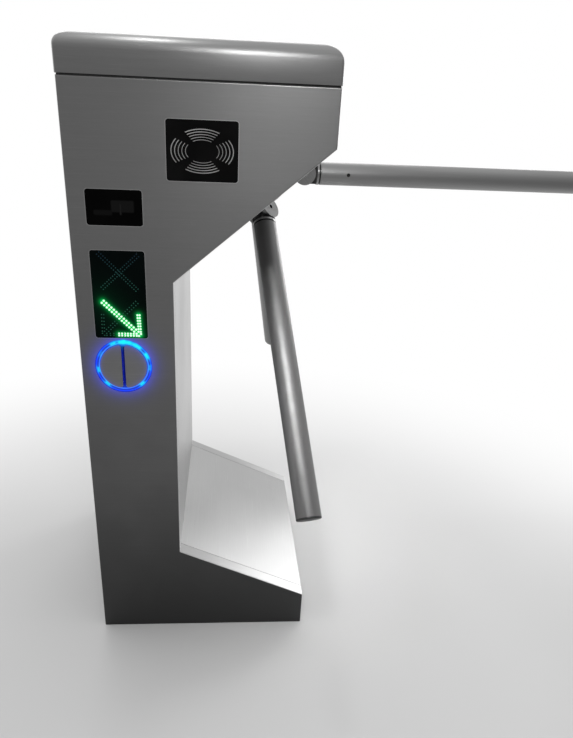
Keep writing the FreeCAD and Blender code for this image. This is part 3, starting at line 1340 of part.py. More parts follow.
def build_arms(shaft_ends):
    """The three arms; the blocking arm's plug and screw move with it, the rest share nodes on the hub."""
    plug_a, screw_a, pin_a = build_arm("a")
    keep(plug_a, "arm_a_plug")
    keep(screw_a, "arm_a_set_screw")
    plug_b, screw_b, pin_b = build_arm("b")
    plug_c, screw_c, pin_c = build_arm("c")
    keep(group("held_plug_set", [plug_b, plug_c]), "held_arm_plugs")
    fasteners = shaft_ends + [pin_a, pin_b, pin_c, screw_b, screw_c]
    keep(group("rotor_fastener_set", fasteners), "rotor_pins_and_screws")


def check_and_write():
    """Stop on any failed object or bad solid, then write each sub-part to its own file."""
    doc.recompute()
    for item in doc.Objects:
        if "Invalid" in item.State or "Error" in item.State:
            raise RuntimeError(f"{item.Name} failed: {item.State}")
    os.makedirs("parts", exist_ok=True)
    for item in EXPORTS:
        if item.Shape.isNull() or not item.Shape.isValid() or not item.Shape.Solids:
            raise RuntimeError(f"{item.Label} has no valid solid")
        item.Shape.exportStep(os.path.join("parts", f"{item.Label}.step"))
        print(f"{item.Label}: {len(item.Shape.Solids)} solids, {item.Shape.Volume:.0f} mm3")


build_faces()
build_infill()
build_side_screws()
build_base()
build_lid()
build_lid_hook()
build_gasket()
build_hinges()
build_lock()
build_windows()
build_slot()
build_electronics()
build_chassis()
build_posts()
build_lock_drive()
build_sensor()
build_gears()
build_spring()
shaft_ends = build_rotor()
build_hub()
build_arms(shaft_ends)
check_and_write()
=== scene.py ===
"""Looks of the tripod turnstile: steel cabinet, lit fittings, hub and arms, on a studio floor.

Everything is in metres in the model's own frame: +X towards the passage, -Y towards the face with
the reader, +Z up, with the origin on the floor under the middle of the cabinet.
"""
import json
import math

import bmesh
import bpy
from mathutils import Matrix, Vector


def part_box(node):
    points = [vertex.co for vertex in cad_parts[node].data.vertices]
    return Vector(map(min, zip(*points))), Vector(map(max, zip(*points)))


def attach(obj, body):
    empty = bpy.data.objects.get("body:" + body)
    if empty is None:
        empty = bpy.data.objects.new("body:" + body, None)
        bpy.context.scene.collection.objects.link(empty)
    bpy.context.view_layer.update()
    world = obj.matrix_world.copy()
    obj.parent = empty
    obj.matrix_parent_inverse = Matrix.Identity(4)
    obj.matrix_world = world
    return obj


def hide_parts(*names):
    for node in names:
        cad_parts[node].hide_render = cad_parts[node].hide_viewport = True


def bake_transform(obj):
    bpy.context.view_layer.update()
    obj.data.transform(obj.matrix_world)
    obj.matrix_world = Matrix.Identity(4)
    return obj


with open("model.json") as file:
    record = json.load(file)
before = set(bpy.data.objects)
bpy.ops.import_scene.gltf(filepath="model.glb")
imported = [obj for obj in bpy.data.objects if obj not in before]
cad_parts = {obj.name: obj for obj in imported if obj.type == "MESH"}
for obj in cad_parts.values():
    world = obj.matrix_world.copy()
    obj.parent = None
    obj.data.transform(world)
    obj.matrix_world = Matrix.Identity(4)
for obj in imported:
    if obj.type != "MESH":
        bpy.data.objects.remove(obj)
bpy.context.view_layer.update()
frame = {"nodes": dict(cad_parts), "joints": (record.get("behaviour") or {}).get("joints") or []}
NODES = frame["nodes"]
JOINTS = {joint["name"]: joint for joint in frame["joints"]}
MM = 0.001
X_AXIS = Vector((1, 0, 0))
Y_AXIS = Vector((0, 1, 0))
Z_AXIS = Vector((0, 0, 1))
QUARTER_TURN = math.pi / 2


# Places read from the frame

def middle(node):
    """Centre of a node's box."""
    low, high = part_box(node)
    return (low + high) / 2


HUB = Vector(JOINTS["hub_turn"]["pos_m"])
HUB_AXIS = Vector(JOINTS["hub_turn"]["axis"]).normalized()
READER = middle("reader_window")
SCANNER = middle("scanner_window")
DISPLAY = middle("display_window")
SLOT = middle("slot_faces")
FACE_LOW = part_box("front_panel")[0]
WINDOW_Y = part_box("reader_window")[0].y
LID_LOW, LID_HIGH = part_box("lid")

# The arms' lines: each is the blocking arm's turned about the hub's axis, and all meet on that axis
PIVOT_ALONG = 83 * MM
SCREW_ALONG = 159 * MM
ARM_MEET = Vector(JOINTS["arm_drop"]["pos_m"]) - PIVOT_ALONG * X_AXIS
ARM_LINES = {arm: Matrix.Rotation(math.radians(angle), 3, HUB_AXIS) @ X_AXIS
             for arm, angle in (("a", 0.0), ("b", 120.0), ("c", -120.0))}
PIN_LINES = {arm: line.cross(HUB_AXIS).normalized() for arm, line in ARM_LINES.items()}


# Colours

def grey(level):
    """A neutral colour."""
    return (level, level, level, 1.0)


def scaled(colour, share):
    """A colour made lighter or darker."""
    return tuple(min(1.0, channel * share) for channel in colour[:3]) + (1.0,)


NO_LIGHT = grey(0.0)
BLUE = (0.006, 0.03, 1.0, 1.0)
PALE_BLUE = (0.06, 0.24, 1.0, 1.0)
BLUE_ON_STEEL = (0.015, 0.03, 0.8, 1.0)
CYAN = (0.0, 0.92, 1.0, 1.0)
GREEN = (0.01, 0.9, 0.16, 1.0)
PALE_GREEN = (0.8, 1.0, 0.86, 1.0)
ZINC = (0.50, 0.51, 0.53, 1.0)
# Near black of the painted shade on the outer faces, deepest near the floor, and of the dark seam
# lines
SHADE_AND_SEAM_DARK = grey(0.03)
# Pale grey of the painted highlights on the flanges and round the windows' cut edges
EDGE_HIGHLIGHT = grey(0.8)


# Node trees

class Nodes:
    """A node tree with short ways to add to it; most of them return a node's result."""

    def __init__(self, tree):
        self.tree = tree

    def put(self, socket, value):
        """Links a socket to another one, or sets any other value on it."""
        if isinstance(value, bpy.types.NodeSocket):
            self.tree.links.new(value, socket)
        else:
            socket.default_value = value

    def add(self, kind, inputs=None, **settings):
        """A node with its settings and inputs."""
        node = self.tree.nodes.new(kind)
        for name, value in settings.items():
            setattr(node, name, value)
        for name, value in (inputs or {}).items():
            self.put(node.inputs[name], value)
        return node

    def group(self, tree, inputs):
        """The outputs of a shader group."""
        return self.add("ShaderNodeGroup", inputs, node_tree=tree).outputs

    def math(self, operation, first, second=0.0, clamp=False):
        """One sum of two values."""
        inputs = {0: first, 1: second}
        return self.add("ShaderNodeMath", inputs, operation=operation, use_clamp=clamp).outputs[0]

    def times(self, first, second, clamp=False):
        """One value times another."""
        return self.math("MULTIPLY", first, second, clamp)

    def combined(self, operation, values):
        """Several values taken together, one after another."""
        total, *others = values
        for value in others:
            total = self.math(operation, total, value)
        return total

    def vector(self, operation, first, second=(0, 0, 0)):
        """One sum of two vectors."""
        node = self.add("ShaderNodeVectorMath", {0: first, 1: second}, operation=operation)
        gives_value = operation in ("DOT_PRODUCT", "LENGTH", "DISTANCE")
        return node.outputs["Value" if gives_value else "Vector"]

    def flat(self, vector):
        """A vector without its depth along Y."""
        return self.vector("MULTIPLY", vector, (1, 0, 1))

    def xyz(self, x, y, z):
        """A vector from its three parts."""
        return self.add("ShaderNodeCombineXYZ", {"X": x, "Y": y, "Z": z}).outputs[0]

    def split(self, vector):
        """A vector's three parts, by name."""
        return self.add("ShaderNodeSeparateXYZ", {0: vector}).outputs

    def noise(self, vector, scale, detail):
        """Soft noise, most of it near a half."""
        inputs = {"Vector": vector, "Scale": scale, "Detail": detail}
        return self.add("ShaderNodeTexNoise", inputs).outputs["Fac"]

    def ramp(self, value, low, high, to_low, to_high, smooth=False):
        """A value moved from one span to another, held at the ends."""
        inputs = {"Value": value, "From Min": low, "From Max": high, "To Min": to_low,
                  "To Max": to_high}
        kind = "SMOOTHSTEP" if smooth else "LINEAR"
        return self.add("ShaderNodeMapRange", inputs, interpolation_type=kind).outputs["Result"]

    def mix(self, share, first, second):
        """The colour between two colours."""
        node = self.add("ShaderNodeMix", data_type="RGBA")
        values = {"Factor": share, "A": first, "B": second}
        for socket in node.inputs:
            if socket.enabled and socket.name in values:
                self.put(socket, values[socket.name])
        return next(socket for socket in node.outputs if socket.enabled)


class ShapeNodes(Nodes):
    """The nodes of a geometry group."""

    def then(self, kind, shape, inputs=None, **settings):
        """The shape that a node makes of another, which is its first input."""
        return self.add(kind, {0: shape, **(inputs or {})}, **settings).outputs[0]

    def kept(self, shape, name, value):
        """A shape with a value kept on its points under a name."""
        inputs = {"Name": name, "Value": value}
        return self.then("GeometryNodeStoreNamedAttribute", shape, inputs, data_type="FLOAT",
                         domain="POINT")

    def named(self, name, kind):
        """A value kept on a shape under a name."""
        node = self.add("GeometryNodeInputNamedAttribute", {"Name": name}, data_type=kind)
        return node.outputs[0]

    def turn(self, angles):
        """A rotation from three angles."""
        return self.add("FunctionNodeEulerToRotation", {0: angles}).outputs[0]

    def copies(self, points, model, turn, size=(1.0, 1.0, 1.0)):
        """Real copies of a model on points."""
        inputs = {"Instance": model, "Rotation": turn, "Scale": size}
        return self.real(self.then("GeometryNodeInstanceOnPoints", points, inputs))

    def real(self, shape):
        """A shape with its copies made real."""
        return self.then("GeometryNodeRealizeInstances", shape)

    def wire(self, path, sides, radius, inputs=None):
        """A round wire along a path."""
        section = self.add("GeometryNodeCurvePrimitiveCircle",
                           {"Resolution": sides, "Radius": radius}, mode="RADIUS")
        inputs = {"Profile Curve": section.outputs["Curve"], "Fill Caps": True, **(inputs or {})}
        return self.then("GeometryNodeCurveToMesh", path, inputs)

    def coated(self, shape, material, where=True):
        """A shape with a finish, all over or where a value says."""
        inputs = {"Selection": where, "Material": material}
        return self.then("GeometryNodeSetMaterial", shape, inputs)


def new_group(name, kind, inputs, outputs):
    """An empty node group with named sockets; returns it, what it is given and what it makes."""
    tree = bpy.data.node_groups.new(name, kind)
    for side, sockets in (("INPUT", inputs), ("OUTPUT", outputs)):
        for label, value in sockets.items():
            tree.interface.new_socket(label, in_out=side, socket_type=f"NodeSocket{value}")
    given = tree.nodes.new("NodeGroupInput").outputs
    return tree, given, tree.nodes.new("NodeGroupOutput").inputs


def shader_group(name, vectors, values, results, result_kind="Float"):
    """An empty shader group that takes vectors and values."""
    inputs = {**dict.fromkeys(vectors, "Vector"), **dict.fromkeys(values, "Float")}
    outputs = dict.fromkeys(results, result_kind)
    tree, given, made = new_group(name, "ShaderNodeTree", inputs, outputs)
    return Nodes(tree), given, made


def geometry_group(name, inputs):
    """An empty geometry group that takes and gives a shape."""
    shape = {"Geometry": "Geometry"}
    tree, given, made = new_group(name, "GeometryNodeTree", {**shape, **inputs}, shape)
    return ShapeNodes(tree), given, made


# Shared surface effects

# Span that holds nearly all of the noise
NOISE_SPAN = (0.3, 0.7)


def make_brushing():
    """Fine short lines along X of its vector, broader streaks, and a few stray scratches."""
    nodes, given, made = shader_group("brushing", ["Vector"], [], ["Lines", "Streaks", "Scratches"])
    scratch_span = (0.72, 0.78)
    # Waves per metre along and across the grain, and how much finer noise lies over them
    for name, along, across, detail in (
        ("Lines", 45.0, 2600.0, 2.0), ("Streaks", 7.0, 420.0, 2.0), ("Scratches", 14.0, 800.0, 0.0),
    ):
        stretched = nodes.vector("MULTIPLY", given["Vector"], (along, across, across))
        value = nodes.noise(stretched, 1.0, detail)
        if name == "Scratches":
            value = nodes.ramp(value, *scratch_span, 0.0, 1.0, True)
        nodes.put(made[name], value)
    return nodes.tree


def make_marks():
    """Soft cloudy marks of handling and cleaning, and finer specks."""
    nodes, given, made = shader_group("handling_marks", ["Vector"], ["Size"], ["Clouds", "Specks"])
    specks_per_cloud = 40.0
    clouds = nodes.noise(given["Vector"], given["Size"], 4.0)
    nodes.put(made["Clouds"], nodes.ramp(clouds, 0.35, 0.68, 0.0, 1.0, True))
    specks = nodes.noise(given["Vector"], nodes.times(given["Size"], specks_per_cloud), 2.0)
    nodes.put(made["Specks"], nodes.ramp(specks, 0.4, 0.7, 0.0, 1.0))
    return nodes.tree


def make_rings():
    """Turning marks: fine rings about Z of its vector."""
    nodes, given, made = shader_group("turning_rings", ["Vector"], ["Rings per metre"], ["Rings"])
    radius = nodes.vector("LENGTH", nodes.vector("MULTIPLY", given["Vector"], (1, 1, 0)))
    inputs = {"W": nodes.times(radius, given["Rings per metre"]), "Scale": 1.0, "Detail": 2.0}
    noise = nodes.add("ShaderNodeTexNoise", inputs, noise_dimensions="1D")
    nodes.put(made["Rings"], noise.outputs["Fac"])
    return nodes.tree


def falling_off(nodes, apart, reach):
    """A share that is 1 at no distance and dies away over a reach."""
    held = nodes.math("MAXIMUM", apart, 0.0)
    return nodes.math("POWER", math.exp(-1.0), nodes.math("DIVIDE", held, reach))


def make_bar_glow():
    """Light round a straight bar of some half width, dying away over Reach."""
    nodes, given, made = shader_group("glow_round_bar", ["Vector", "Start", "End"],
                                      ["Half Width", "Reach"], ["Glow"])
    from_start = nodes.vector("SUBTRACT", given["Vector"], given["Start"])
    run = nodes.vector("SUBTRACT", given["End"], given["Start"])
    share = nodes.math("DIVIDE", nodes.vector("DOT_PRODUCT", from_start, run),
                       nodes.vector("DOT_PRODUCT", run, run), clamp=True)
    nearest = nodes.add("ShaderNodeVectorMath", {0: run, "Scale": share}, operation="SCALE")
    apart = nodes.vector("DISTANCE", from_start, nearest.outputs[0])
    outside = nodes.math("SUBTRACT", apart, given["Half Width"])
    nodes.put(made["Glow"], falling_off(nodes, outside, given["Reach"]))
    return nodes.tree


def make_ring_glow():
    """Light on both sides of a ring about Y of its vector, dying away over Reach."""
    nodes, given, made = shader_group("glow_round_ring", ["Vector"],
                                      ["Radius", "Half Width", "Reach"], ["Glow"])
    radius = nodes.vector("LENGTH", nodes.flat(given["Vector"]))
    apart = nodes.math("ABSOLUTE", nodes.math("SUBTRACT", radius, given["Radius"]))
    outside = nodes.math("SUBTRACT", apart, given["Half Width"])
    nodes.put(made["Glow"], falling_off(nodes, outside, given["Reach"]))
    return nodes.tree


def make_box_mask():
    """1 inside an upright rounded box that faces -Y, falling to 0 over Width round it."""
    nodes, given, made = shader_group("box_mask", ["Vector", "Centre", "Half Size"],
                                      ["Corner", "Width"], ["Mask"])
    corner = given["Corner"]
    from_centre = nodes.flat(nodes.vector("SUBTRACT", given["Vector"], given["Centre"]))
    past = nodes.vector("SUBTRACT", nodes.vector("ABSOLUTE", from_centre), given["Half Size"])
    from_corner = nodes.vector("ADD", past, nodes.xyz(corner, corner, corner))
    outside = nodes.flat(nodes.vector("MAXIMUM", from_corner, (0, 0, 0)))
    apart = nodes.math("SUBTRACT", nodes.vector("LENGTH", outside), corner)
    nodes.put(made["Mask"], nodes.ramp(apart, 0.0, given["Width"], 1.0, 0.0))
    return nodes.tree


def make_surroundings():
    """Colour of the studio in a direction: white behind and above, dimmer on the reader's side."""
    nodes, given, made = shader_group("surroundings", ["Direction"], [], ["Colour"], "Color")
    dim, white = grey(0.34), grey(1.0)
    parts = nodes.split(given["Direction"])
    back = nodes.ramp(parts["Y"], -0.6, 0.3, 0.0, 1.0, True)
    above = nodes.ramp(parts["Z"], 0.05, 0.9, 0.0, 0.45, True)
    nodes.put(made["Colour"], nodes.mix(nodes.math("ADD", back, above, clamp=True), dim, white))
    return nodes.tree


BRUSHING = make_brushing()
MARKS = make_marks()
RINGS = make_rings()
BAR_GLOW = make_bar_glow()
RING_GLOW = make_ring_glow()
BOX_MASK = make_box_mask()
SURROUNDINGS = make_surroundings()


# Materials

class Finish(Nodes):
    """A material's nodes, with its main shader and its object coordinates."""

    def __init__(self, name):
        self.material = bpy.data.materials.new(name)
        self.material.use_nodes = True
        super().__init__(self.material.node_tree)
        self.shader = self.tree.nodes["Principled BSDF"]
        self.places = self.add("ShaderNodeTexCoord").outputs["Object"]

    def set(self, values):
        """Sets or links inputs of the main shader."""
        for name, value in values.items():
            self.put(self.shader.inputs[name], value)

    def shine(self, colour, strength=1.0):
        """Makes the surface give off a colour."""
        self.set({"Emission Color": colour, "Emission Strength": strength})

    def relief(self, height, depth):
        """Relief from a height value, with its depth in metres."""
        bump = self.add("ShaderNodeBump", {"Height": height, "Strength": 1.0, "Distance": depth})
        self.set({"Normal": bump.outputs["Normal"]})

    def draw_out(self, grain):
        """Highlights drawn out across a grain, which is tilted so that no face looks along it."""
        tilt = Vector((0.03, 0.02, 0.01))
        line = self.add("ShaderNodeVectorTransform", {0: tuple(Vector(grain) + tilt)},
                        vector_type="VECTOR", convert_from="OBJECT", convert_to="WORLD")
        self.set({"Tangent": line.outputs[0], "Anisotropic": 0.6, "Anisotropic Rotation": 0.25})

    def centred(self, origin):
        """Coordinates measured from an origin."""
        return self.vector("SUBTRACT", self.places, tuple(origin))

    def along(self, axis, line, origin=Vector()):
        """Coordinates one of whose axes runs along a line, measured from an origin."""
        other = "Y" if axis == "Z" else "Z"
        turn = Vector(line).to_track_quat(axis, other).to_matrix().transposed().to_euler()
        inputs = {"Vector": self.centred(origin), "Rotation": tuple(turn)}
        return self.add("ShaderNodeMapping", inputs).outputs["Vector"]

    def marks(self, size):
        """Handling marks, by name; size is how many lie on a metre."""
        return self.group(MARKS, {"Vector": self.places, "Size": size})

    def bar_glow(self, places, start, end, half_width, reach):
        """Light round a bar."""
        inputs = {"Vector": places, "Start": tuple(start), "End": tuple(end),
                  "Half Width": half_width, "Reach": reach}
        return self.group(BAR_GLOW, inputs)["Glow"]

    def ring_glow(self, places, radius, half_width, reach):
        """Light round a ring."""
        inputs = {"Vector": places, "Radius": radius, "Half Width": half_width, "Reach": reach}
        return self.group(RING_GLOW, inputs)["Glow"]

    def box_mask(self, centre, width, height, corner, edge):
        """1 inside a rounded box on the front, 0 past a soft edge."""
        inputs = {"Vector": self.places, "Centre": tuple(centre), "Corner": corner, "Width": edge,
                  "Half Size": (width / 2, 0.0, height / 2)}
        return self.group(BOX_MASK, inputs)["Mask"]


def brushed_steel(name, level, grain, roughness=0.32, contrast=0.05, relief=0.02 * MM, detail=None,
                  slot_light=None):
    """Stainless sheet or tube brushed along one line, with streaks, scratches and cleaning marks.

    detail takes the finish and its colour, and returns the colour with more laid over it.
    slot_light is the strength and the reach of the slot's blue light on the steel.
    """
    finish = Finish(name)
    colour = grey(level)
    line_share, streak_share, wiped_share, scratch_share = 0.6, 0.4, 0.25, 0.12
    wiped_tone, scratch_tone = scaled(colour, 0.86), scaled(colour, 1.5)
    brush = finish.group(BRUSHING, {"Vector": finish.along("X", grain)})
    clouds = finish.marks(4.0)["Clouds"]
    lines = finish.math("ADD", finish.times(brush["Lines"], line_share),
                        finish.times(brush["Streaks"], streak_share))
    base = finish.mix(finish.ramp(lines, *NOISE_SPAN, 0.0, 1.0), scaled(colour, 1 - contrast),
                      scaled(colour, 1 + contrast))
    wiped = finish.mix(finish.times(clouds, wiped_share), base, wiped_tone)
    worn = finish.mix(finish.times(brush["Scratches"], scratch_share), wiped, scratch_tone)
    rough = finish.math("ADD", finish.ramp(lines, *NOISE_SPAN, roughness - 0.03, roughness + 0.03),
                        finish.ramp(clouds, 0.0, 1.0, -0.02, 0.05))
    finish.set({"Base Color": detail(finish, worn) if detail else worn, "Metallic": 1.0,
                "Roughness": rough})
    finish.draw_out(grain)
    finish.relief(lines, relief)
    if slot_light:
        lay_slot_light(finish, *slot_light)
    return finish.material


def turned_steel(name, colour, axis=HUB_AXIS, origin=HUB, roughness=0.3, rings=1500.0, detail=None):
    """Machined metal with fine rings about an axis."""
    finish = Finish(name)
    lathe = finish.along("Z", axis, origin)
    ring = finish.group(RINGS, {"Vector": lathe, "Rings per metre": rings})["Rings"]
    clouds = finish.marks(14.0)["Clouds"]
    tone = finish.ramp(ring, *NOISE_SPAN, 0.0, 1.0)
    base = finish.mix(tone, scaled(colour, 0.88), scaled(colour, 1.08))
    rough = finish.math("ADD", finish.ramp(tone, 0.0, 1.0, roughness - 0.04, roughness + 0.05),
                        finish.ramp(clouds, 0.0, 1.0, -0.03, 0.06))
    finish.set({"Base Color": detail(finish, base) if detail else base, "Metallic": 1.0,
                "Roughness": rough})
    finish.relief(ring, 0.04 * MM)
    return finish.material


def zinc_plate(name, light=None):
    """Zinc plated sheet with a faint spangle; light takes the finish and lights it."""
    finish = Finish(name)
    spangles_per_metre = 160.0
    dulled_share = 0.35
    cells = finish.add("ShaderNodeTexVoronoi",
                       {"Vector": finish.places, "Scale": spangles_per_metre}).outputs["Color"]
    marks = finish.marks(9.0)
    tone = finish.add("ShaderNodeSeparateColor", {"Color": cells}).outputs["Red"]
    base = finish.mix(tone, scaled(ZINC, 0.82), scaled(ZINC, 1.08))
    dulled = finish.mix(finish.times(marks["Clouds"], dulled_share), base, scaled(ZINC, 0.75))
    finish.set({"Base Color": dulled, "Metallic": 1.0,
                "Roughness": finish.ramp(tone, 0.0, 1.0, 0.36, 0.5)})
    finish.relief(marks["Specks"], 0.04 * MM)
    if light:
        light(finish)
    return finish.material


def moulded(name, colour, roughness, grain_depth, grain_scale=1800.0, metal=0.0):
    """Moulded plastic, rubber or a blacked finish, with a fine grain and a few dull patches."""
    finish = Finish(name)
    grain = finish.noise(finish.places, grain_scale, 3.0)
    clouds = finish.marks(18.0)["Clouds"]
    rough = finish.math("ADD", finish.ramp(grain, *NOISE_SPAN, roughness - 0.06, roughness + 0.06),
                        finish.ramp(clouds, 0.0, 1.0, 0.0, 0.1))
    finish.set({"Base Color": finish.mix(clouds, colour, scaled(colour, 1.6)), "Metallic": metal,
                "Roughness": rough})
    finish.relief(grain, grain_depth)
    return finish.material


def black_glass(name, colour, gloss):
    """Black acrylic with wiped smears, to which light can be added."""
    finish = Finish(name)
    clouds = finish.marks(26.0)["Clouds"]
    finish.set({"Base Color": finish.mix(clouds, colour, scaled(colour, 1.7)),
                "Roughness": finish.ramp(clouds, 0.0, 1.0, 0.08, 0.15),
                "Specular IOR Level": gloss})
    return finish


# Blue ring round the slot

SLOT_INNER = 36.5 * MM
SLOT_OUTER = 44.5 * MM
SLOT_RING = (SLOT_INNER + SLOT_OUTER) / 2
SLOT_RING_HALF = (SLOT_OUTER - SLOT_INNER) / 2
# Bright spots: degrees clockwise from the ring's top, strength, and reach in millimetres
RING_SPOTS = ((-22.0, 0.9, 2.6), (-3.0, 1.1, 3.0), (9.0, 1.1, 3.0), (21.0, 0.8, 2.6),
              (36.0, 1.1, 3.0), (64.0, 1.2, 2.8), (93.0, 0.6, 1.8), (137.0, 1.0, 2.4),
              (222.0, 1.1, 2.4), (261.0, 0.9, 1.8), (300.0, 0.3, 2.4))
SPOT_HALF_ANGLE = 4.0
SPOT_HALF_WIDTH = 0.4 * MM


def ring_point(angle):
    """A point of the slot's ring, from its centre."""
    turn = math.radians(angle)
    return Vector((SLOT_RING * math.sin(turn), 0, SLOT_RING * math.cos(turn)))


def spot_light(finish, from_slot, spread):
    """Sum of the ring's bright spots; from_slot is the coordinates from the slot's centre."""
    flat = finish.flat(from_slot)
    parts = []
    for angle, strength, reach in RING_SPOTS:
        glow = finish.bar_glow(flat, ring_point(angle - SPOT_HALF_ANGLE),
                               ring_point(angle + SPOT_HALF_ANGLE), SPOT_HALF_WIDTH,
                               reach * MM * spread)
        parts.append(finish.times(glow, strength))
    return finish.combined("ADD", parts)


def lay_slot_light(finish, strength, reach):
    """Blue light from the slot's ring lying on the steel round it."""
    ring_share, spot_share, spot_spread = 0.7, 0.4, 2.2
    from_slot = finish.centred(SLOT)
    ring = finish.ring_glow(from_slot, SLOT_RING, SLOT_RING_HALF, reach)
    spots = finish.times(spot_light(finish, from_slot, spot_spread), spot_share)
    glow = finish.math("ADD", finish.times(ring, ring_share), spots, clamp=True)
    finish.shine(finish.mix(glow, NO_LIGHT, BLUE_ON_STEEL), strength)


def lit_acrylic(name):
    """The slot's clear ring: deep blue with two thin lines, and brighter spots where lamps sit."""
    finish = Finish(name)
    from_slot = finish.centred(SLOT)
    inner, outer = (finish.ring_glow(from_slot, radius, 0.3 * MM, 0.8 * MM)
                    for radius in (SLOT_INNER + 1.8 * MM, SLOT_OUTER - 2.0 * MM))
    clouds = finish.marks(90.0)["Clouds"]
    patchy = finish.ramp(clouds, 0.0, 1.0, 0.75, 1.0)
    body = finish.mix(finish.times(inner, patchy), BLUE, PALE_BLUE)
    spots = finish.times(spot_light(finish, from_slot, 1.0), patchy, clamp=True)
    rim = finish.ramp(finish.combined("MAXIMUM", (inner, outer, spots)), 0.0, 0.8, 0.22, 1.0)
    base = finish.mix(patchy, (0.01, 0.03, 0.2, 1.0), (0.02, 0.06, 0.3, 1.0))
    finish.set({"Base Color": base, "Roughness": finish.ramp(clouds, 0.0, 1.0, 0.2, 0.32),
                "Specular IOR Level": 0.1})
    glowing = finish.mix(spots, body, CYAN)
    finish.shine(finish.vector("MULTIPLY", glowing, finish.xyz(rim, rim, rim)))
    return finish.material


def light_chute(finish):
    """Blue light of the ring in the card chute's mouth, brightest at the slit's top."""
    reach, cyan_from, cyan_to = 40 * MM, 20 * MM, 36 * MM
    mouth_share, strength = 0.6, 0.35
    parts = finish.split(finish.places)
    depth = finish.ramp(parts["Y"], SLOT.y, SLOT.y + reach, mouth_share, 0.0)
    height = finish.ramp(parts["Z"], SLOT.z + cyan_from, SLOT.z + cyan_to, 0.0, 1.0, True)
    finish.shine(finish.mix(depth, NO_LIGHT, finish.mix(height, BLUE, CYAN)), strength)


# Steel of the cabinet

# Each window's centre, width and height
WINDOWS = ((READER, 100 * MM, 80 * MM), (SCANNER, 80 * MM, 50 * MM), (DISPLAY, 80 * MM, 135 * MM))
WINDOW_CORNER = 4 * MM
SEAM_Y = -FACE_LOW.y - 25 * MM
STEEL = 0.33


def painted_shade_and_highlight(finish, colour):
    """Painted shade that darkens the outer faces, most of all near the floor, and a painted
    highlight that lightens the flanges.
    """
    skin = 0.6 * MM
    unevenness, flange_highlight_share = 0.03, 0.12
    low, high, low_share, high_share = 0.02, 0.88, 0.9, 0.2
    parts = finish.split(finish.places)
    clouds = finish.marks(11.0)["Clouds"]
    height = finish.math("ADD", parts["Z"], finish.times(clouds, unevenness))
    from_middle = finish.math("ABSOLUTE", parts["Y"])
    on_front = finish.math("GREATER_THAN", from_middle, -FACE_LOW.y - skin)
    on_side = finish.math("LESS_THAN", parts["X"], FACE_LOW.x + skin)
    outer = finish.math("MAXIMUM", on_front, on_side)
    # Painted highlight: the flanges, off the outer faces, lightened towards pale grey
    flange_highlight = finish.times(finish.math("SUBTRACT", 1.0, outer), flange_highlight_share)
    # Painted shade: the outer faces darkened towards near black, by a fifth at the top and by nine
    # tenths at the foot, a painted dark reflection
    dulled = finish.ramp(height, low, high, low_share, high_share, True)
    return finish.mix(finish.times(dulled, outer), finish.mix(flange_highlight, colour, EDGE_HIGHLIGHT), SHADE_AND_SEAM_DARK)


def seam_lines(finish, colour):
    """Dark joint lines where an infill sheet meets the flanges of the front and rear."""
    from_middle = finish.math("ABSOLUTE", finish.split(finish.places)["Y"])
    line = finish.ramp(from_middle, SEAM_Y - 1.3 * MM, SEAM_Y - 0.6 * MM, 0.0, 0.85)
    return finish.mix(line, colour, SHADE_AND_SEAM_DARK)


def painted_edge_highlights(finish, colour):
    """Painted highlights on the edges round the windows' cut-outs, and the painted shade near the
    floor.
    """
    highlight_width, highlight_share = 1.1 * MM, 0.8
    # Painted highlight along each window's cut edge
    for centre, width, height in WINDOWS:
        mask = finish.box_mask(centre, width, height, WINDOW_CORNER, highlight_width)
        colour = finish.mix(finish.times(mask, highlight_share), colour, EDGE_HIGHLIGHT)
    return painted_shade_and_highlight(finish, colour)


front_steel = brushed_steel("front_steel", STEEL, X_AXIS, detail=painted_edge_highlights,
                            slot_light=(0.6, 8.0 * MM))
rear_steel = brushed_steel("rear_steel", STEEL, X_AXIS, detail=painted_shade_and_highlight)
lid_steel = brushed_steel("lid_steel", STEEL * 0.86, X_AXIS)
side_steel = brushed_steel("side_steel", STEEL, Y_AXIS, detail=painted_shade_and_highlight)
infill_steel = brushed_steel("infill_steel", STEEL, Y_AXIS, relief=0.008 * MM, detail=seam_lines)
disc_steel = brushed_steel("slot_disc_steel", STEEL * 0.8, X_AXIS, slot_light=(0.35, 2.0 * MM))


# Steel of the hub and arms, and the other plain finishes

def joint_painted_shade(arm):
    """Painted shade on an arm's joint: inside the fork and in the groove beside the tube."""
    groove_along = 110 * MM
    joint_shade_colour = grey(0.012)

    def laid_over(finish, colour):
        along = finish.vector("DOT_PRODUCT", finish.centred(ARM_MEET), tuple(ARM_LINES[arm]))
        # Painted shade inside the fork and in the groove beside the tube
        fork_shade = finish.ramp(along, 103.5 * MM, 105.2 * MM, 0.85, 0.0)
        from_groove = finish.math("ABSOLUTE", finish.math("SUBTRACT", along, groove_along))
        groove_shade = finish.ramp(from_groove, 1.0 * MM, 2.2 * MM, 0.9, 0.0)
        return finish.mix(finish.math("MAXIMUM", fork_shade, groove_shade), colour, joint_shade_colour)
    return laid_over


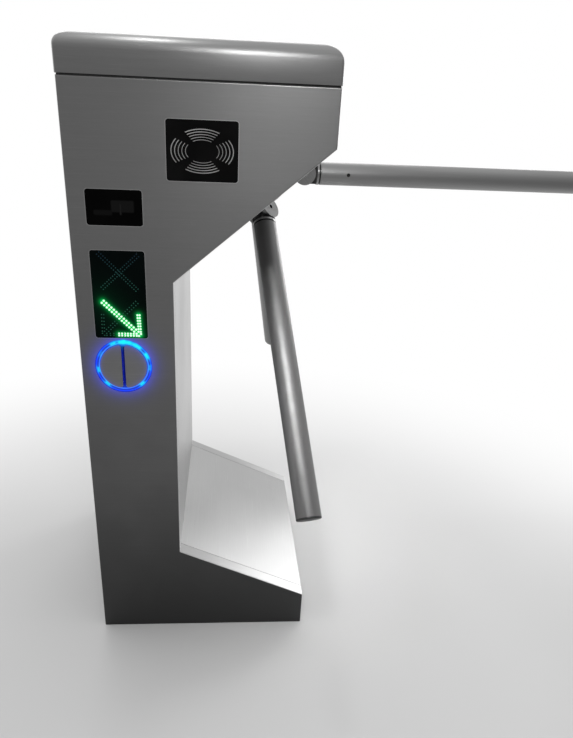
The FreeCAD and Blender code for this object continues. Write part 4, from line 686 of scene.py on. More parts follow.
# Painted light and shade: the same steel is made lighter on arm a and darker on arms b and c, for
# how the light falls on each
ARM_LIT_AND_SHADED_LEVELS = {"a": 0.29, "b": 0.18, "c": 0.18}
ARM_STEEL = {arm: brushed_steel(f"arm_{arm}_steel", ARM_LIT_AND_SHADED_LEVELS[arm], line, roughness=0.41,
                                contrast=0.04, relief=0.004 * MM)
             for arm, line in ARM_LINES.items()}
KNUCKLE_STEEL = {arm: turned_steel(f"arm_{arm}_knuckle_steel", grey(0.30), line, ARM_MEET,
                                   roughness=0.32, rings=900.0, detail=joint_painted_shade(arm))
                 for arm, line in ARM_LINES.items()}
hub_steel = turned_steel("hub_steel", grey(0.36), roughness=0.34, rings=900.0)
fastener_steel = turned_steel("fastener_steel", grey(0.45), roughness=0.28)
machined_steel = turned_steel("machined_steel", grey(0.5))
brass = turned_steel("brass", (0.62, 0.44, 0.18, 1.0))
zinc = zinc_plate("zinc_plate")
# Black oxide of the set screws, which is also laid in the sockets of the steel fixings as painted
# shade
black_oxide = moulded("black_oxide", grey(0.012), 0.4, 0.03 * MM, metal=0.6)
black_plastic = moulded("black_plastic", grey(0.012), 0.42, 0.06 * MM)
dark_case = moulded("dark_case", grey(0.03), 0.5, 0.08 * MM)
rubber = moulded("rubber", grey(0.018), 0.75, 0.12 * MM, 900.0)
board = moulded("circuit_board", (0.008, 0.05, 0.025, 1.0), 0.4, 0.06 * MM, 600.0)
print_ink = moulded("print_ink", grey(0.25), 0.5, 0.02 * MM)


# Windows

def on_face(across, up):
    """A point of the windows' front from the face's lower left corner, in millimetres."""
    return Vector((FACE_LOW.x + across * MM, WINDOW_Y, FACE_LOW.z + up * MM))


ARROW_TAIL = on_face(40.6, 644.1)
ARROW_TIP = on_face(93.8, 592.5)
ARROW_UP = on_face(93.0, 624.1)
ARROW_LEFT = on_face(62.0, 592.7)


def display_glass(name):
    """Black acrylic with green light spilling round the lit arrow."""
    finish = black_glass(name, (0.0006, 0.0012, 0.001, 1.0), 0.04)
    places = finish.places
    wide = finish.bar_glow(places, ARROW_TAIL, ARROW_TIP, 4 * MM, 16 * MM)
    dim = finish.mix(wide, (0.0, 0.0004, 0.0006, 1.0), (0.0, 0.013, 0.005, 1.0))
    near = [finish.bar_glow(places, start, end, half_width * MM, 2.0 * MM)
            for start, end, half_width in ((ARROW_TAIL, ARROW_TIP, 2.2), (ARROW_TIP, ARROW_UP, 1.6),
                                           (ARROW_TIP, ARROW_LEFT, 1.6))]
    finish.shine(finish.mix(finish.combined("MAXIMUM", near), dim, (0.0, 0.62, 0.10, 1.0)))
    return finish.material


def scanner_glass(name):
    """Deep black acrylic over the scanner, with faint shapes of its lens block painted on as glow.
    """
    finish = black_glass(name, grey(0.001), 0.03)
    parts = []
    # Each painted shape's place from the middle, width and height in millimetres, and how bright
    # its glow is
    for across, up, width, height, level in (
        (12, 2, 30, 14, 0.4), (-16, -7, 24, 5, 0.25), (9, -2, 0.4, 14, 0.8),
    ):
        centre = SCANNER + Vector((across * MM, 0, up * MM))
        mask = finish.box_mask(centre, width * MM, height * MM, 1.0 * MM, 2.0 * MM)
        parts.append(finish.times(mask, level))
    finish.shine(finish.mix(finish.combined("MAXIMUM", parts), NO_LIGHT, grey(0.012)))
    return finish.material


def lit_lenses(name):
    """Lamp dots that are on, with a brighter core."""
    finish = Finish(name)
    lens_share = 0.2
    crown = finish.add("ShaderNodeAttribute", attribute_name="crown").outputs["Fac"]
    base = finish.mix(crown, scaled(GREEN, lens_share), scaled(PALE_GREEN, lens_share))
    finish.set({"Base Color": base, "Roughness": 0.35, "Specular IOR Level": 0.2})
    core = finish.ramp(crown, 0.1, 0.65, 0.0, 1.0, True)
    finish.shine(finish.mix(core, GREEN, PALE_GREEN))
    return finish.material


def unlit_lenses(name):
    """Lamp dots that are off: dim lenses with a faint painted glow; their colour and glow turn
    greener towards the lit arrow below them, as painted light from it.
    """
    finish = Finish(name)
    height = finish.split(finish.places)["Z"]
    # Painted light from the lit arrow: colour and glow greener near it
    near = finish.ramp(height, FACE_LOW.z + 640 * MM, FACE_LOW.z + 715 * MM, 1.0, 0.0)
    base = finish.mix(near, (0.004, 0.008, 0.012, 1.0), (0.012, 0.03, 0.02, 1.0))
    finish.set({"Base Color": base, "Roughness": 0.3, "Specular IOR Level": 0.2})
    finish.shine(finish.mix(near, (0.0006, 0.009, 0.018, 1.0), (0.003, 0.050, 0.030, 1.0)))
    return finish.material


lit_dots = lit_lenses("lit_green_dots")
dim_dots = unlit_lenses("unlit_dots")

FINISHES = (
    (front_steel, "front_panel"),
    (rear_steel, "rear_panel"),
    (side_steel, "outer_side_panel"),
    (lid_steel, "lid"),
    (infill_steel, "head_end_panel", "head_slope_panel", "column_inner_panel", "base_slope_panel",
     "base_end_panel"),
    (disc_steel, "slot_faces"),
    (lit_acrylic("lit_blue_guide"), "slot_light_guide"),
    (zinc_plate("lit_card_chute", light_chute), "card_chute"),
    (black_glass("reader_glass", grey(0.003), 0.05).material, "reader_window"),
    (scanner_glass("scanner_glass"), "scanner_window"),
    (display_glass("display_glass"), "display_window"),
    (board, "display_board"),
    (hub_steel, "hub"),
    *((steel, f"arm_{arm}_tube") for arm, steel in ARM_STEEL.items()),
    *((steel, f"arm_{arm}_knuckle") for arm, steel in KNUCKLE_STEEL.items()),
    (fastener_steel, "side_panel_screws", "chassis_bolts", "rotor_pins_and_screws",
     "arm_a_set_screw", "lid_lock_hook", "lid_hinge_fixed_leaves", "lid_hinge_moving_leaves",
     "lid_hinge_pins", "lid_lock_barrel", "lid_lock_cam"),
    (zinc, "base_plate", "chassis_plate", "mechanism_plate", "mechanism_pillars", "card_box",
     "power_supply"),
    (machined_steel, "bearing_housing", "bearings", "main_shaft", "main_gear", "lock_disc",
     "encoder_disc", "lock_pawl", "solenoid_plunger", "damper_pinion", "centring_spring"),
    (brass, "centring_gear"),
    (black_plastic, "held_arm_plugs", "arm_a_plug", "damper", "position_sensor"),
    (dark_case, "reader_module", "scanner_module", "control_unit", "lock_solenoid"),
    (rubber, "lid_gasket", "cable_grommet"),
)
for material, *names in FINISHES:
    for name in names:
        NODES[name].data.materials.clear()
        NODES[name].data.materials.append(material)


# Mesh helpers

DOUBLED = 0.001 * MM


def mesh_of(name, points, faces, edges=()):
    """A mesh from points, with faces or edges."""
    mesh = bpy.data.meshes.new(name)
    mesh.from_pydata([tuple(point) for point in points], edges, faces)
    mesh.update()
    return mesh


def in_scene(name, data):
    """A new object in the scene."""
    thing = bpy.data.objects.new(name, data)
    bpy.context.scene.collection.objects.link(thing)
    return thing


def object_of(name, mesh, *materials):
    """An object in the scene with a mesh and its finishes."""
    for material in materials:
        mesh.materials.append(material)
    return in_scene(name, mesh)


def smoothed(mesh, degrees=35.0):
    """Smooth shading, with edges kept sharp where faces meet at more than an angle."""
    shape = bmesh.new()
    shape.from_mesh(mesh)
    limit = math.radians(degrees)
    for face in shape.faces:
        face.smooth = True
    for edge in shape.edges:
        edge.smooth = len(edge.link_faces) == 2 and edge.calc_face_angle(0.0) < limit
    shape.to_mesh(mesh)
    shape.free()
    return mesh


def outward(mesh):
    """Merges a closed mesh's doubled points and points its faces outwards."""
    shape = bmesh.new()
    shape.from_mesh(mesh)
    bmesh.ops.remove_doubles(shape, verts=shape.verts, dist=DOUBLED)
    bmesh.ops.recalc_face_normals(shape, faces=shape.faces)
    shape.to_mesh(mesh)
    shape.free()
    return mesh


def loft(rings, closed=False):
    """Points and faces of a skin over rings of equally many points; its ends are closed unless it
    is a loop."""
    count = len(rings[0])
    points = [point for ring in rings for point in ring]
    faces = []
    for span in range(len(rings) if closed else len(rings) - 1):
        here = span * count
        there = (span + 1) % len(rings) * count
        for side in range(count):
            after = (side + 1) % count
            faces.append((here + side, here + after, there + after, there + side))
    if not closed:
        faces.append(tuple(reversed(range(count))))
        faces.append(tuple(range((len(rings) - 1) * count, len(rings) * count)))
    return points, faces


def skinned(name, rings, closed=False, degrees=35.0):
    """A closed, smooth mesh over rings."""
    return smoothed(outward(mesh_of(name, *loft(rings, closed))), degrees)


def solids_of(node):
    """Each solid of a CAD node as its points and faces, with its doubled points merged."""
    shape = bmesh.new()
    shape.from_mesh(NODES[node].data)
    bmesh.ops.remove_doubles(shape, verts=shape.verts, dist=DOUBLED)
    shape.verts.ensure_lookup_table()
    shape.verts.index_update()
    solid_of = {}
    solids = []
    for start in shape.verts:
        if start.index in solid_of:
            continue
        number = len(solids)
        solid_of[start.index] = number
        members = [start]
        for vert in members:
            for edge in vert.link_edges:
                other = edge.other_vert(vert)
                if other.index not in solid_of:
                    solid_of[other.index] = number
                    members.append(other)
        order = {vert.index: place for place, vert in enumerate(members)}
        faces = [tuple(order[vert.index] for vert in face.verts) for face in shape.faces
                 if solid_of.get(face.verts[0].index) == number]
        solids.append(([vert.co.copy() for vert in members], faces))
    shape.free()
    return solids


def span_along(points, line):
    """Lowest and highest place of points along a line."""
    places = [point.dot(line) for point in points]
    return min(places), max(places)


def centre_of(points):
    """Centre of the box round some points."""
    low = Vector([min(point[axis] for point in points) for axis in range(3)])
    high = Vector([max(point[axis] for point in points) for axis in range(3)])
    return (low + high) / 2


def joined(name, pieces):
    """One object from several."""
    with bpy.context.temp_override(active_object=pieces[0], object=pieces[0],
                                   selected_editable_objects=pieces, selected_objects=pieces):
        bpy.ops.object.join()
    pieces[0].name = name
    return pieces[0]


def finish_piece(piece, body, slot, *nodes):
    """Puts a piece on its body and hides the nodes that it stands for; its slot is not used."""
    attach(piece, body)
    if nodes:
        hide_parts(*nodes)


# Shapes grown by rule

def grown(name, tree, mesh, values):
    """A piece made by a geometry group from a carrier mesh, as a plain mesh."""
    piece = object_of(name, mesh)
    modifier = piece.modifiers.new("grow", "NODES")
    modifier.node_group = tree
    for item in tree.interface.items_tree:
        if item.in_out == "INPUT" and item.name in values:
            modifier[item.identifier] = values[item.name]
    view = bpy.context.evaluated_depsgraph_get()
    made = bpy.data.meshes.new_from_object(piece.evaluated_get(view), preserve_all_data_layers=True,
                                           depsgraph=view)
    piece.modifiers.clear()
    piece.data = made
    return piece


def make_arc_print():
    """Nested arcs on four sides of a bare middle, as thin raised lines on a face along -Y."""
    sizes = ("Outer Width", "Outer Height", "Inner Width", "Inner Height", "Sweep", "Outer Line",
             "Inner Line", "Flatness")
    nodes, given, made = geometry_group("arc_print", {
        "Arcs": "Int", **dict.fromkeys(sizes, "Float"), "Centre": "Vector", "Ink": "Material"})
    sides, arc_points, line_sides = 4, 22, 8
    arcs = given["Arcs"]
    index = nodes.add("GeometryNodeInputIndex").outputs["Index"]
    side = nodes.math("FLOOR", nodes.math("DIVIDE", index, arcs))
    share = nodes.math("DIVIDE", nodes.math("FLOORED_MODULO", index, arcs),
                       nodes.math("SUBTRACT", arcs, 1.0))
    width, height, line = (
        nodes.ramp(share, 0.0, 1.0, given[f"Outer {name}"], given[f"Inner {name}"])
        for name in ("Width", "Height", "Line"))
    upright = nodes.math("FLOORED_MODULO", side, 2.0)
    size = nodes.xyz(nodes.ramp(upright, 0.0, 1.0, width, height),
                     nodes.ramp(upright, 0.0, 1.0, height, width), 1.0)
    turn = nodes.turn(nodes.xyz(0.0, 0.0, nodes.times(side, QUARTER_TURN)))
    points = nodes.add("GeometryNodePoints", {"Count": nodes.times(arcs, sides)}).outputs[0]
    sweep = {"Resolution": arc_points, "Radius": 1.0, "Sweep Angle": given["Sweep"],
             "Start Angle": nodes.times(given["Sweep"], -0.5)}
    arc = nodes.add("GeometryNodeCurveArc", sweep, mode="RADIUS").outputs["Curve"]
    paths = nodes.copies(nodes.kept(points, "line_width", line), arc, turn, size)
    lines = nodes.wire(paths, line_sides, 0.5, {"Scale": nodes.named("line_width", "FLOAT")})
    flatter = nodes.xyz(1.0, 1.0, given["Flatness"])
    pressed = nodes.then("GeometryNodeTransform", lines, {"Scale": flatter})
    faced = nodes.then("GeometryNodeTransform", pressed, {
        "Rotation": (QUARTER_TURN, 0.0, 0.0), "Translation": given["Centre"]})
    nodes.put(made["Geometry"], nodes.coated(faced, given["Ink"]))
    return nodes.tree


def make_dot_rows():
    """Flat lamp dots at an even pitch along every edge of a carrier, on a face along -Y."""
    nodes, given, made = geometry_group("dot_rows", {
        "Pitch": "Float", "Dot Radius": "Float", "Dot Height": "Float", "Lens": "Material"})
    rows = nodes.then("GeometryNodeMeshToCurve", given["Geometry"])
    pitch = {"Length": given["Pitch"]}
    spaced = nodes.then("GeometryNodeResampleCurve", rows, pitch, mode="LENGTH")
    ball = nodes.add("GeometryNodeMeshUVSphere", {"Segments": 10, "Rings": 6, "Radius": 1.0})
    height = nodes.split(nodes.add("GeometryNodeInputPosition").outputs[0])["Z"]
    dot = nodes.then("GeometryNodeSetShadeSmooth",
                     nodes.kept(ball.outputs["Mesh"], "crown", height))
    size = nodes.xyz(given["Dot Radius"], given["Dot Radius"], given["Dot Height"])
    dots = nodes.copies(spaced, dot, nodes.turn((QUARTER_TURN, 0.0, 0.0)), size)
    nodes.put(made["Geometry"], nodes.coated(dots, given["Lens"]))
    return nodes.tree


def make_fixings():
    """One fixing on every point of a carrier, facing the way that its outward attribute says."""
    nodes, given, made = geometry_group("fixings", {
        "Fixing": "Object", "Finish": "Material", "Recess Shade": "Material"})
    model = nodes.add("GeometryNodeObjectInfo", {"Object": given["Fixing"]},
                      transform_space="ORIGINAL").outputs["Geometry"]
    way = nodes.named("outward", "FLOAT_VECTOR")
    facing = nodes.add("FunctionNodeAlignRotationToVector", {"Vector": way}, axis="Z").outputs[0]
    copies = nodes.copies(given["Geometry"], model, facing)
    plain = nodes.coated(copies, given["Finish"])
    # Faces marked as the recess take a dark finish that paints the shade in the socket
    recess = nodes.named("recess", "BOOLEAN")
    nodes.put(made["Geometry"], nodes.coated(plain, given["Recess Shade"], recess))
    return nodes.tree


def make_bent_wire():
    """A round wire along the edges of a carrier."""
    nodes, given, made = geometry_group("bent_wire", {
        "Wire Radius": "Float", "Finish": "Material"})
    path = nodes.then("GeometryNodeMeshToCurve", given["Geometry"])
    wire_sides = 10
    wire = nodes.wire(path, wire_sides, given["Wire Radius"])
    real = nodes.real(nodes.then("GeometryNodeSetShadeSmooth", wire))
    nodes.put(made["Geometry"], nodes.coated(real, given["Finish"]))
    return nodes.tree


ARC_PRINT = make_arc_print()
DOT_ROWS = make_dot_rows()
FIXINGS = make_fixings()
BENT_WIRE = make_bent_wire()


# Reader: nested arcs printed on the black pane

def make_reader_print():
    """Four groups of five arcs round the bare middle of the reader's pane."""
    values = {"Arcs": 5, "Outer Width": 43 * MM, "Outer Height": 28.3 * MM,
              "Inner Width": 23.2 * MM, "Inner Height": 14.9 * MM, "Sweep": math.radians(66.0),
              "Outer Line": 1.2 * MM, "Inner Line": 0.65 * MM, "Flatness": 0.15, "Ink": print_ink,
              "Centre": (READER.x, WINDOW_Y, READER.z)}
    arcs = grown("reader_arcs", ARC_PRINT, bpy.data.meshes.new("reader_arcs"), values)
    finish_piece(arcs, "cabinet", "black_glass_plastic")


# Display: a lit arrow, and an unlit cross and arrow

def double_row(start, end, apart):
    """Two rows side by side from one point to another."""
    run = (end - start).normalized()
    aside = run.cross(Y_AXIS) * apart / 2
    return [(start + aside, end + aside), (start - aside, end - aside)]


def rows_mesh(name, rows):
    """A carrier with one edge for each row."""
    edges = [(2 * number, 2 * number + 1) for number in range(len(rows))]
    return mesh_of(name, [point for row in rows for point in row], [], edges)


def mirrored(point):
    """A point's mirror image across the display's upright middle line."""
    return Vector((2 * DISPLAY.x - point.x, point.y, point.z))


def make_display_dots():
    """The display's rows of lamp dots."""
    shaft_gap = 4.6 * MM
    head_gap = 3.3 * MM
    head_start = 5.0 * MM
    dot_height = 0.25 * MM
    shaft = double_row(ARROW_TAIL, ARROW_TIP, shaft_gap)
    head = []
    for end in (ARROW_UP, ARROW_LEFT):
        start = ARROW_TIP + (end - ARROW_TIP).normalized() * head_start
        head += double_row(start, end, head_gap)
    cross = double_row(on_face(38.4, 717.3), on_face(92.6, 663.2), shaft_gap)
    cross += double_row(on_face(95.8, 715.2), on_face(41.3, 665.0), shaft_gap)
    other_arrow = [(mirrored(start), mirrored(end)) for start, end in shaft + head]
    # Each piece's rows, the pitch and radius of its dots in millimetres, and its lenses
    for name, rows, pitch, radius, lens in (
        ("lit_arrow_shaft", shaft, 4.8, 1.95, lit_dots),
        ("lit_arrow_head", head, 4.35, 1.75, lit_dots),
        ("unlit_cross", cross, 3.9, 1.0, dim_dots),
        ("unlit_arrow", other_arrow, 4.6, 1.0, dim_dots),
    ):
        values = {"Pitch": pitch * MM, "Dot Radius": radius * MM, "Dot Height": dot_height,
                  "Lens": lens}
        finish_piece(grown(name, DOT_ROWS, rows_mesh(name, rows), values), "cabinet", "light_guide")


# Screws and pins

RING_POINTS = 24
HEX_SIDES = 6


def circle_ring(radius, height, hexagon=False):
    """Points round Z, on a circle or on a hexagon of the same corner radius."""
    ring = []
    for number in range(RING_POINTS):
        turn = 2 * math.pi * number / RING_POINTS
        reach = radius
        if hexagon:
            wedge = 2 * math.pi / HEX_SIDES
            reach *= math.cos(wedge / 2) / math.cos(turn % wedge - wedge / 2)
        ring.append(Vector((reach * math.cos(turn), reach * math.sin(turn), height)))
    return ring


def socket_fixing(name, profile, socket_radius, socket_depth):
    """A turned fixing about Z with a hexagon socket in its top; profile lists radius and height
    from the foot."""
    top = profile[-1][1]
    lead = 0.3 * MM
    rings = [circle_ring(radius, height) for radius, height in profile]
    rings += [circle_ring(socket_radius + lead, top),
              circle_ring(socket_radius, top - lead, True),
              circle_ring(socket_radius, top - socket_depth, True)]
    mesh = skinned(name, rings)
    # The socket's faces come last, but for the foot's, which is the last but one
    count = len(mesh.polygons)
    first = (len(rings) - 3) * RING_POINTS
    # The socket's faces are marked so that they take a dark finish: painted shade in the recess
    recess = mesh.attributes.new("recess", "BOOLEAN", "FACE")
    recess.data.foreach_set("value", [number >= first and number != count - 2
                                      for number in range(count)])
    return mesh


# Sockets take black as painted shade unless another finish is given
def set_fixings(name, mesh, places, ways, finish, recess_shade=black_oxide):
    """Copies of a fixing at places, each facing its own way or all facing one."""
    if isinstance(ways, Vector):
        ways = [ways] * len(places)
    carrier = mesh_of(name, places, [])
    facing = carrier.attributes.new("outward", "FLOAT_VECTOR", "POINT")
    facing.data.foreach_set("vector", [value for way in ways for value in way])
    template = object_of(f"{name}_model", mesh)
    values = {"Fixing": template, "Finish": finish, "Recess Shade": recess_shade}
    piece = grown(name, FIXINGS, carrier, values)
    bpy.data.objects.remove(template)
    return piece


def button_profile(head_radius, head_height, shank_radius, length):
    """Outline of a screw with a domed head that sits on z = 0."""
    return [(shank_radius - 0.4 * MM, -length), (shank_radius, -length + 0.6 * MM),
            (shank_radius, 0.0), (head_radius - 0.2 * MM, 0.0), (head_radius, 0.3 * MM),
            (head_radius, head_height * 0.35), (head_radius * 0.93, head_height * 0.72),
            (head_radius * 0.78, head_height * 0.94), (head_radius * 0.6, head_height)]


def set_screw_profile(radius, length):
    """Outline of a headless screw whose top is at z = 0."""
    edge = 0.5 * MM
    return [(radius * 0.6, -length), (radius, -length + edge), (radius, -edge),
            (radius - edge, 0.0)]


def pin_profile(radius, half):
    """Outline of a pin with a chamfer at each end."""
    edge = 0.8 * MM
    return [(radius - edge, -half), (radius, -half + edge), (radius, half - edge),
            (radius - edge, half)]


def make_cabinet_screws():
    """Button head screws of the removable side panel, and the bolts of the mechanism's chassis."""
    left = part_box("outer_side_panel")[0].x
    places = [Vector((left, *centre_of(points)[1:]))
              for points, _ in solids_of("side_panel_screws")]
    profile = button_profile(5.5 * MM, 2.5 * MM, 2.5 * MM, 11.8 * MM)
    mesh = socket_fixing("side_screw", profile, 2.0 * MM, 1.6 * MM)
    screws = set_fixings("panel_screws", mesh, places, -X_AXIS, fastener_steel)
    finish_piece(screws, "cabinet", "fastener_steel", "side_panel_screws")

    head_height = 4.5 * MM
    places = []
    lengths = []
    for points, _ in solids_of("chassis_bolts"):
        low, high = span_along(points, HUB_AXIS)
        centre = centre_of(points)
        places.append(centre + HUB_AXIS * (low + head_height - centre.dot(HUB_AXIS)))
        lengths.append(high - low - head_height)
    profile = button_profile(7 * MM, head_height, 4 * MM, lengths[0])
    mesh = socket_fixing("chassis_bolt", profile, 3.0 * MM, 2.6 * MM)
    bolts = set_fixings("chassis_bolt_set", mesh, places, -HUB_AXIS, fastener_steel)
    finish_piece(bolts, "cabinet", "fastener_steel", "chassis_bolts")


def make_arm_fixings():
    """Black set screws that hold the tubes, the arms' pivot pins, and the fixings on the shaft."""
    near = 5 * MM
    screw = socket_fixing("set_screw", set_screw_profile(3 * MM, 7 * MM), 1.5 * MM, 3 * MM)
    on_a = middle("arm_a_set_screw")
    top_a = Vector((on_a.x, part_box("arm_a_set_screw")[0].y, on_a.z))
    front = set_fixings("arm_a_screw", screw, [top_a], -Y_AXIS, black_oxide)
    finish_piece(front, "blocking_arm", "fastener_steel", "arm_a_set_screw")

    pins, pin_ways, screws, screw_ways, kept = [], [], [], [], []
    half = 0.0
    for points, faces in solids_of("rotor_pins_and_screws"):
        centre = centre_of(points)
        arm = max(ARM_LINES, key=lambda name: (centre - ARM_MEET).dot(ARM_LINES[name]))
        along = (centre - ARM_MEET).dot(ARM_LINES[arm])
        if abs(along - PIVOT_ALONG) < near:
            low, high = span_along(points, PIN_LINES[arm])
            half = (high - low) / 2
            pins.append(ARM_MEET + ARM_LINES[arm] * PIVOT_ALONG)
            pin_ways.append(PIN_LINES[arm])
        elif abs(along - SCREW_ALONG) < near:
            on_axis = ARM_MEET + ARM_LINES[arm] * along
            way = (centre - on_axis).normalized()
            screws.append(on_axis + way * (span_along(points, way)[1] - on_axis.dot(way)))
            screw_ways.append(way)
        else:
            kept.append((points, faces))
    pin = socket_fixing("pivot_pin", pin_profile(6 * MM, half), 3.4 * MM, 3.5 * MM)
    pieces = [set_fixings("pivot_pins", pin, pins, pin_ways, fastener_steel),
              set_fixings("held_arm_screws", screw, screws, screw_ways, black_oxide)]
    for number, (points, faces) in enumerate(kept):
        name = f"shaft_end_{number}"
        pieces.append(object_of(name, smoothed(mesh_of(name, points, faces)), fastener_steel))
    fixings = joined("rotor_fixings", pieces)
    finish_piece(fixings, "rotor", "fastener_steel", "rotor_pins_and_screws")


# Centring spring

def make_spring():
    """A coil of bent wire with an eye at each end, from its fixed post to the crank pin on the
    centring wheel."""
    wire = 0.75 * MM
    coil = 4.25 * MM
    eye = 3.8 * MM
    between_eyes = 46 * MM
    turns, steps = 15, 16
    eye_sweep, eye_steps = 330.0, 24
    lead_in = 0.6 * steps
    line = HUB_AXIS.cross(Y_AXIS)
    if line.x < 0:
        line = -line
    centre = middle("centring_spring")
    post = centre - line * between_eyes / 2

    # The wire's path as distance along, sideways and up
    hook = []
    for number in range(eye_steps + 1):
        turn = math.radians(eye_sweep - eye_sweep * number / eye_steps)
        hook.append((eye * math.cos(turn), eye * math.sin(turn), 0.0))
    first = eye + 1.5 * MM
    last = between_eyes - first
    total = turns * steps
    body = []
    for number in range(total + 1):
        turn = 2 * math.pi * number / steps
        radius = coil * min(1.0, number / lead_in, (total - number) / lead_in)
        body.append((first + (last - first) * (number / total), radius * math.sin(turn),
                     radius * math.cos(turn)))
    far_hook = [(between_eyes - along, side, up) for along, side, up in reversed(hook)]
    points = [post + line * along + Y_AXIS * side + HUB_AXIS * up
              for along, side, up in hook + body + far_hook]
    edges = [(number, number + 1) for number in range(len(points) - 1)]
    carrier = mesh_of("centring_coil", points, [], edges)
    values = {"Wire Radius": wire, "Finish": machined_steel}
    spring = grown("centring_coil", BENT_WIRE, carrier, values)
    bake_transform(spring)
    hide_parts("centring_spring")


# Lid and its seal

CORNER_STEPS = 8


def rounded_ring(low, high, radius, height_at):
    """An upright rounded rectangle between two corners; height_at gives each point's height from
    its way outwards."""
    ring = []
    for corner, (side_x, side_y) in enumerate(((1, 1), (-1, 1), (-1, -1), (1, -1))):
        centre = Vector((high.x - radius if side_x > 0 else low.x + radius,
                         high.y - radius if side_y > 0 else low.y + radius, 0))
        for step in range(CORNER_STEPS + 1):
            turn = QUARTER_TURN * (corner + step / CORNER_STEPS)
            way = Vector((math.cos(turn), math.sin(turn), 0))
            ring.append(centre + way * radius + Z_AXIS * height_at(way))
    return ring


def level_ring(low, high, inset_by, radius, height):
    """A rounded rectangle at one height, set in from two corners."""
    step = Vector((inset_by, inset_by, 0))
    return rounded_ring(low + step, high - step, radius, lambda way: height)


def make_lid():
    """The pressed lid: roundings of three radii that flow into each other, a turned-in edge, and
    sheet thickness."""
    sheet = 1.5 * MM
    turned_in = 14 * MM
    bend = 0.6 * MM
    corner = 4 * MM
    corner_growth = 10 * MM
    left, right, ends = 17 * MM, 26 * MM, 20 * MM
    rounding_steps = 10
    foot, top = LID_LOW.z, LID_HIGH.z
    edge = ((turned_in, 0.0), (bend, 0.0), (bend * 0.3, bend * 0.3), (0.0, bend))
    rings = [level_ring(LID_LOW, LID_HIGH, inset_by, corner, foot + height)
             for inset_by, height in edge]
    for step in range(rounding_steps + 1):
        turn = QUARTER_TURN * step / rounding_steps
        inward = 1 - math.cos(turn)
        low = LID_LOW + Vector((left, ends, 0)) * inward
        high = LID_HIGH - Vector((right, ends, 0)) * inward

        def height_at(way, drop=1 - math.sin(turn)):
            sideways = right if way.x > 0 else left
            share = way.x ** 2
            return top - drop * (sideways * share + ends * (1 - share))

        rings.append(rounded_ring(low, high, corner + corner_growth * inward, height_at))
    points, faces = loft(rings)
    lid = object_of("lid_shell", mesh_of("lid_skin", points, faces[:-2] + faces[-1:]))
    wall = lid.modifiers.new("sheet", "SOLIDIFY")
    wall.thickness = sheet
    wall.offset = -1.0
    view = bpy.context.evaluated_depsgraph_get()
    lid.data = smoothed(bpy.data.meshes.new_from_object(lid.evaluated_get(view)), 40.0)
    lid.modifiers.clear()
    lid.data.materials.clear()
    lid.data.materials.append(lid_steel)
    finish_piece(lid, "lid", "cabinet_steel", "lid")


def make_lid_seal():
    """A soft strip in the seam under the lid, with a lip that nearly reaches the cabinet's face."""
    low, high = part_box("lid_gasket")
    lip_low, lip_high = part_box("front_panel")[0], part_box("rear_panel")[1]
    lip_in = 1.2 * MM
    width = 12 * MM
    squash = 0.25 * MM
    corner = 3 * MM
    rings = [level_ring(lip_low, lip_high, inset_by, corner, height) for inset_by, height in (
        (width, low.z), (lip_in, low.z), (lip_in - 0.3 * MM, (low.z + high.z) / 2),
        (lip_in, high.z - squash), (width * 0.6, high.z), (width, high.z - squash))]
    seal = object_of("lid_seal", skinned("lid_seal", rings, closed=True), rubber)
    finish_piece(seal, "cabinet", "rubber", "lid_gasket")


# Hinge screws and the cases inside

def make_hinge_screws():
    """Three low screws in each leaf of the lid's hinges."""
    leaf = 1.5 * MM
    from_edge = 11 * MM
    hinge_middles = (-130 * MM, 130 * MM)
    spread = (-20 * MM, 0.0, 20 * MM)
    profile = button_profile(3.2 * MM, 1.3 * MM, 1.6 * MM, 1.4 * MM)
    mesh = socket_fixing("hinge_screw", profile, 1.2 * MM, 0.8 * MM)
    cabinet_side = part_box("lid_hinge_fixed_leaves")
    lid_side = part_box("lid_hinge_moving_leaves")
    for name, body, face, height in (
        ("fixed_leaf_screws", "cabinet", cabinet_side[1].x, cabinet_side[0].z + from_edge),
        ("moving_leaf_screws", "lid", lid_side[1].x, lid_side[1].z - from_edge),
    ):
        places = [Vector((face - leaf, middle_y + aside, height))
                  for middle_y in hinge_middles for aside in spread]
        screws = set_fixings(name, mesh, places, -X_AXIS, fastener_steel)
        finish_piece(screws, body, "fastener_steel")


def turned_to_front(point, origin):
    """A point drawn flat, with Z as its height, stood up to face -Y at an origin."""
    return Vector((origin.x + point.x, origin.y - point.z, origin.z + point.y))


def flat_ring(width, height, inset_by, radius, out):
    """A rounded rectangle about the origin, at one height."""
    half = Vector((width / 2, height / 2, 0))
    return level_ring(-half, half, inset_by, radius, out)


def make_case(name, node, finish, slot, corner):
    """An electric case on the rear wall: a tray, a shadow gap and a cover with softened edges."""
    low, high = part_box(node)
    width, depth, height = high - low
    origin = Vector(((low.x + high.x) / 2, high.y, (low.z + high.z) / 2))
    gap = 0.9 * MM
    edge = 2 * MM
    tray = depth * 0.64
    steps = ((0.0, 0.0), (0.0, tray), (gap, tray), (gap, tray + gap), (0.0, tray + gap),
             (0.0, depth - edge), (edge * 0.3, depth - edge * 0.3), (edge, depth))
    rings = [[turned_to_front(point, origin)
              for point in flat_ring(width, height, inset_by, corner, out)]
             for inset_by, out in steps]
    case = object_of(name, skinned(name, rings), finish)
    finish_piece(case, "cabinet", slot, node)
    return origin, Vector((width, height, depth))


def block_mesh(name, width, length, height, recess):
    """A small block on z = 0 with a round recess in its top."""
    edge = 0.8 * MM
    corner = 1.0 * MM
    rings = [flat_ring(width, length, inset_by, corner, out)
             for inset_by, out in ((0.0, 0.0), (0.0, height - edge), (edge, height))]
    rings += [flat_ring(recess * 2, recess * 2, 0.0, recess, out)
              for out in (height, height - recess)]
    return skinned(name, rings)


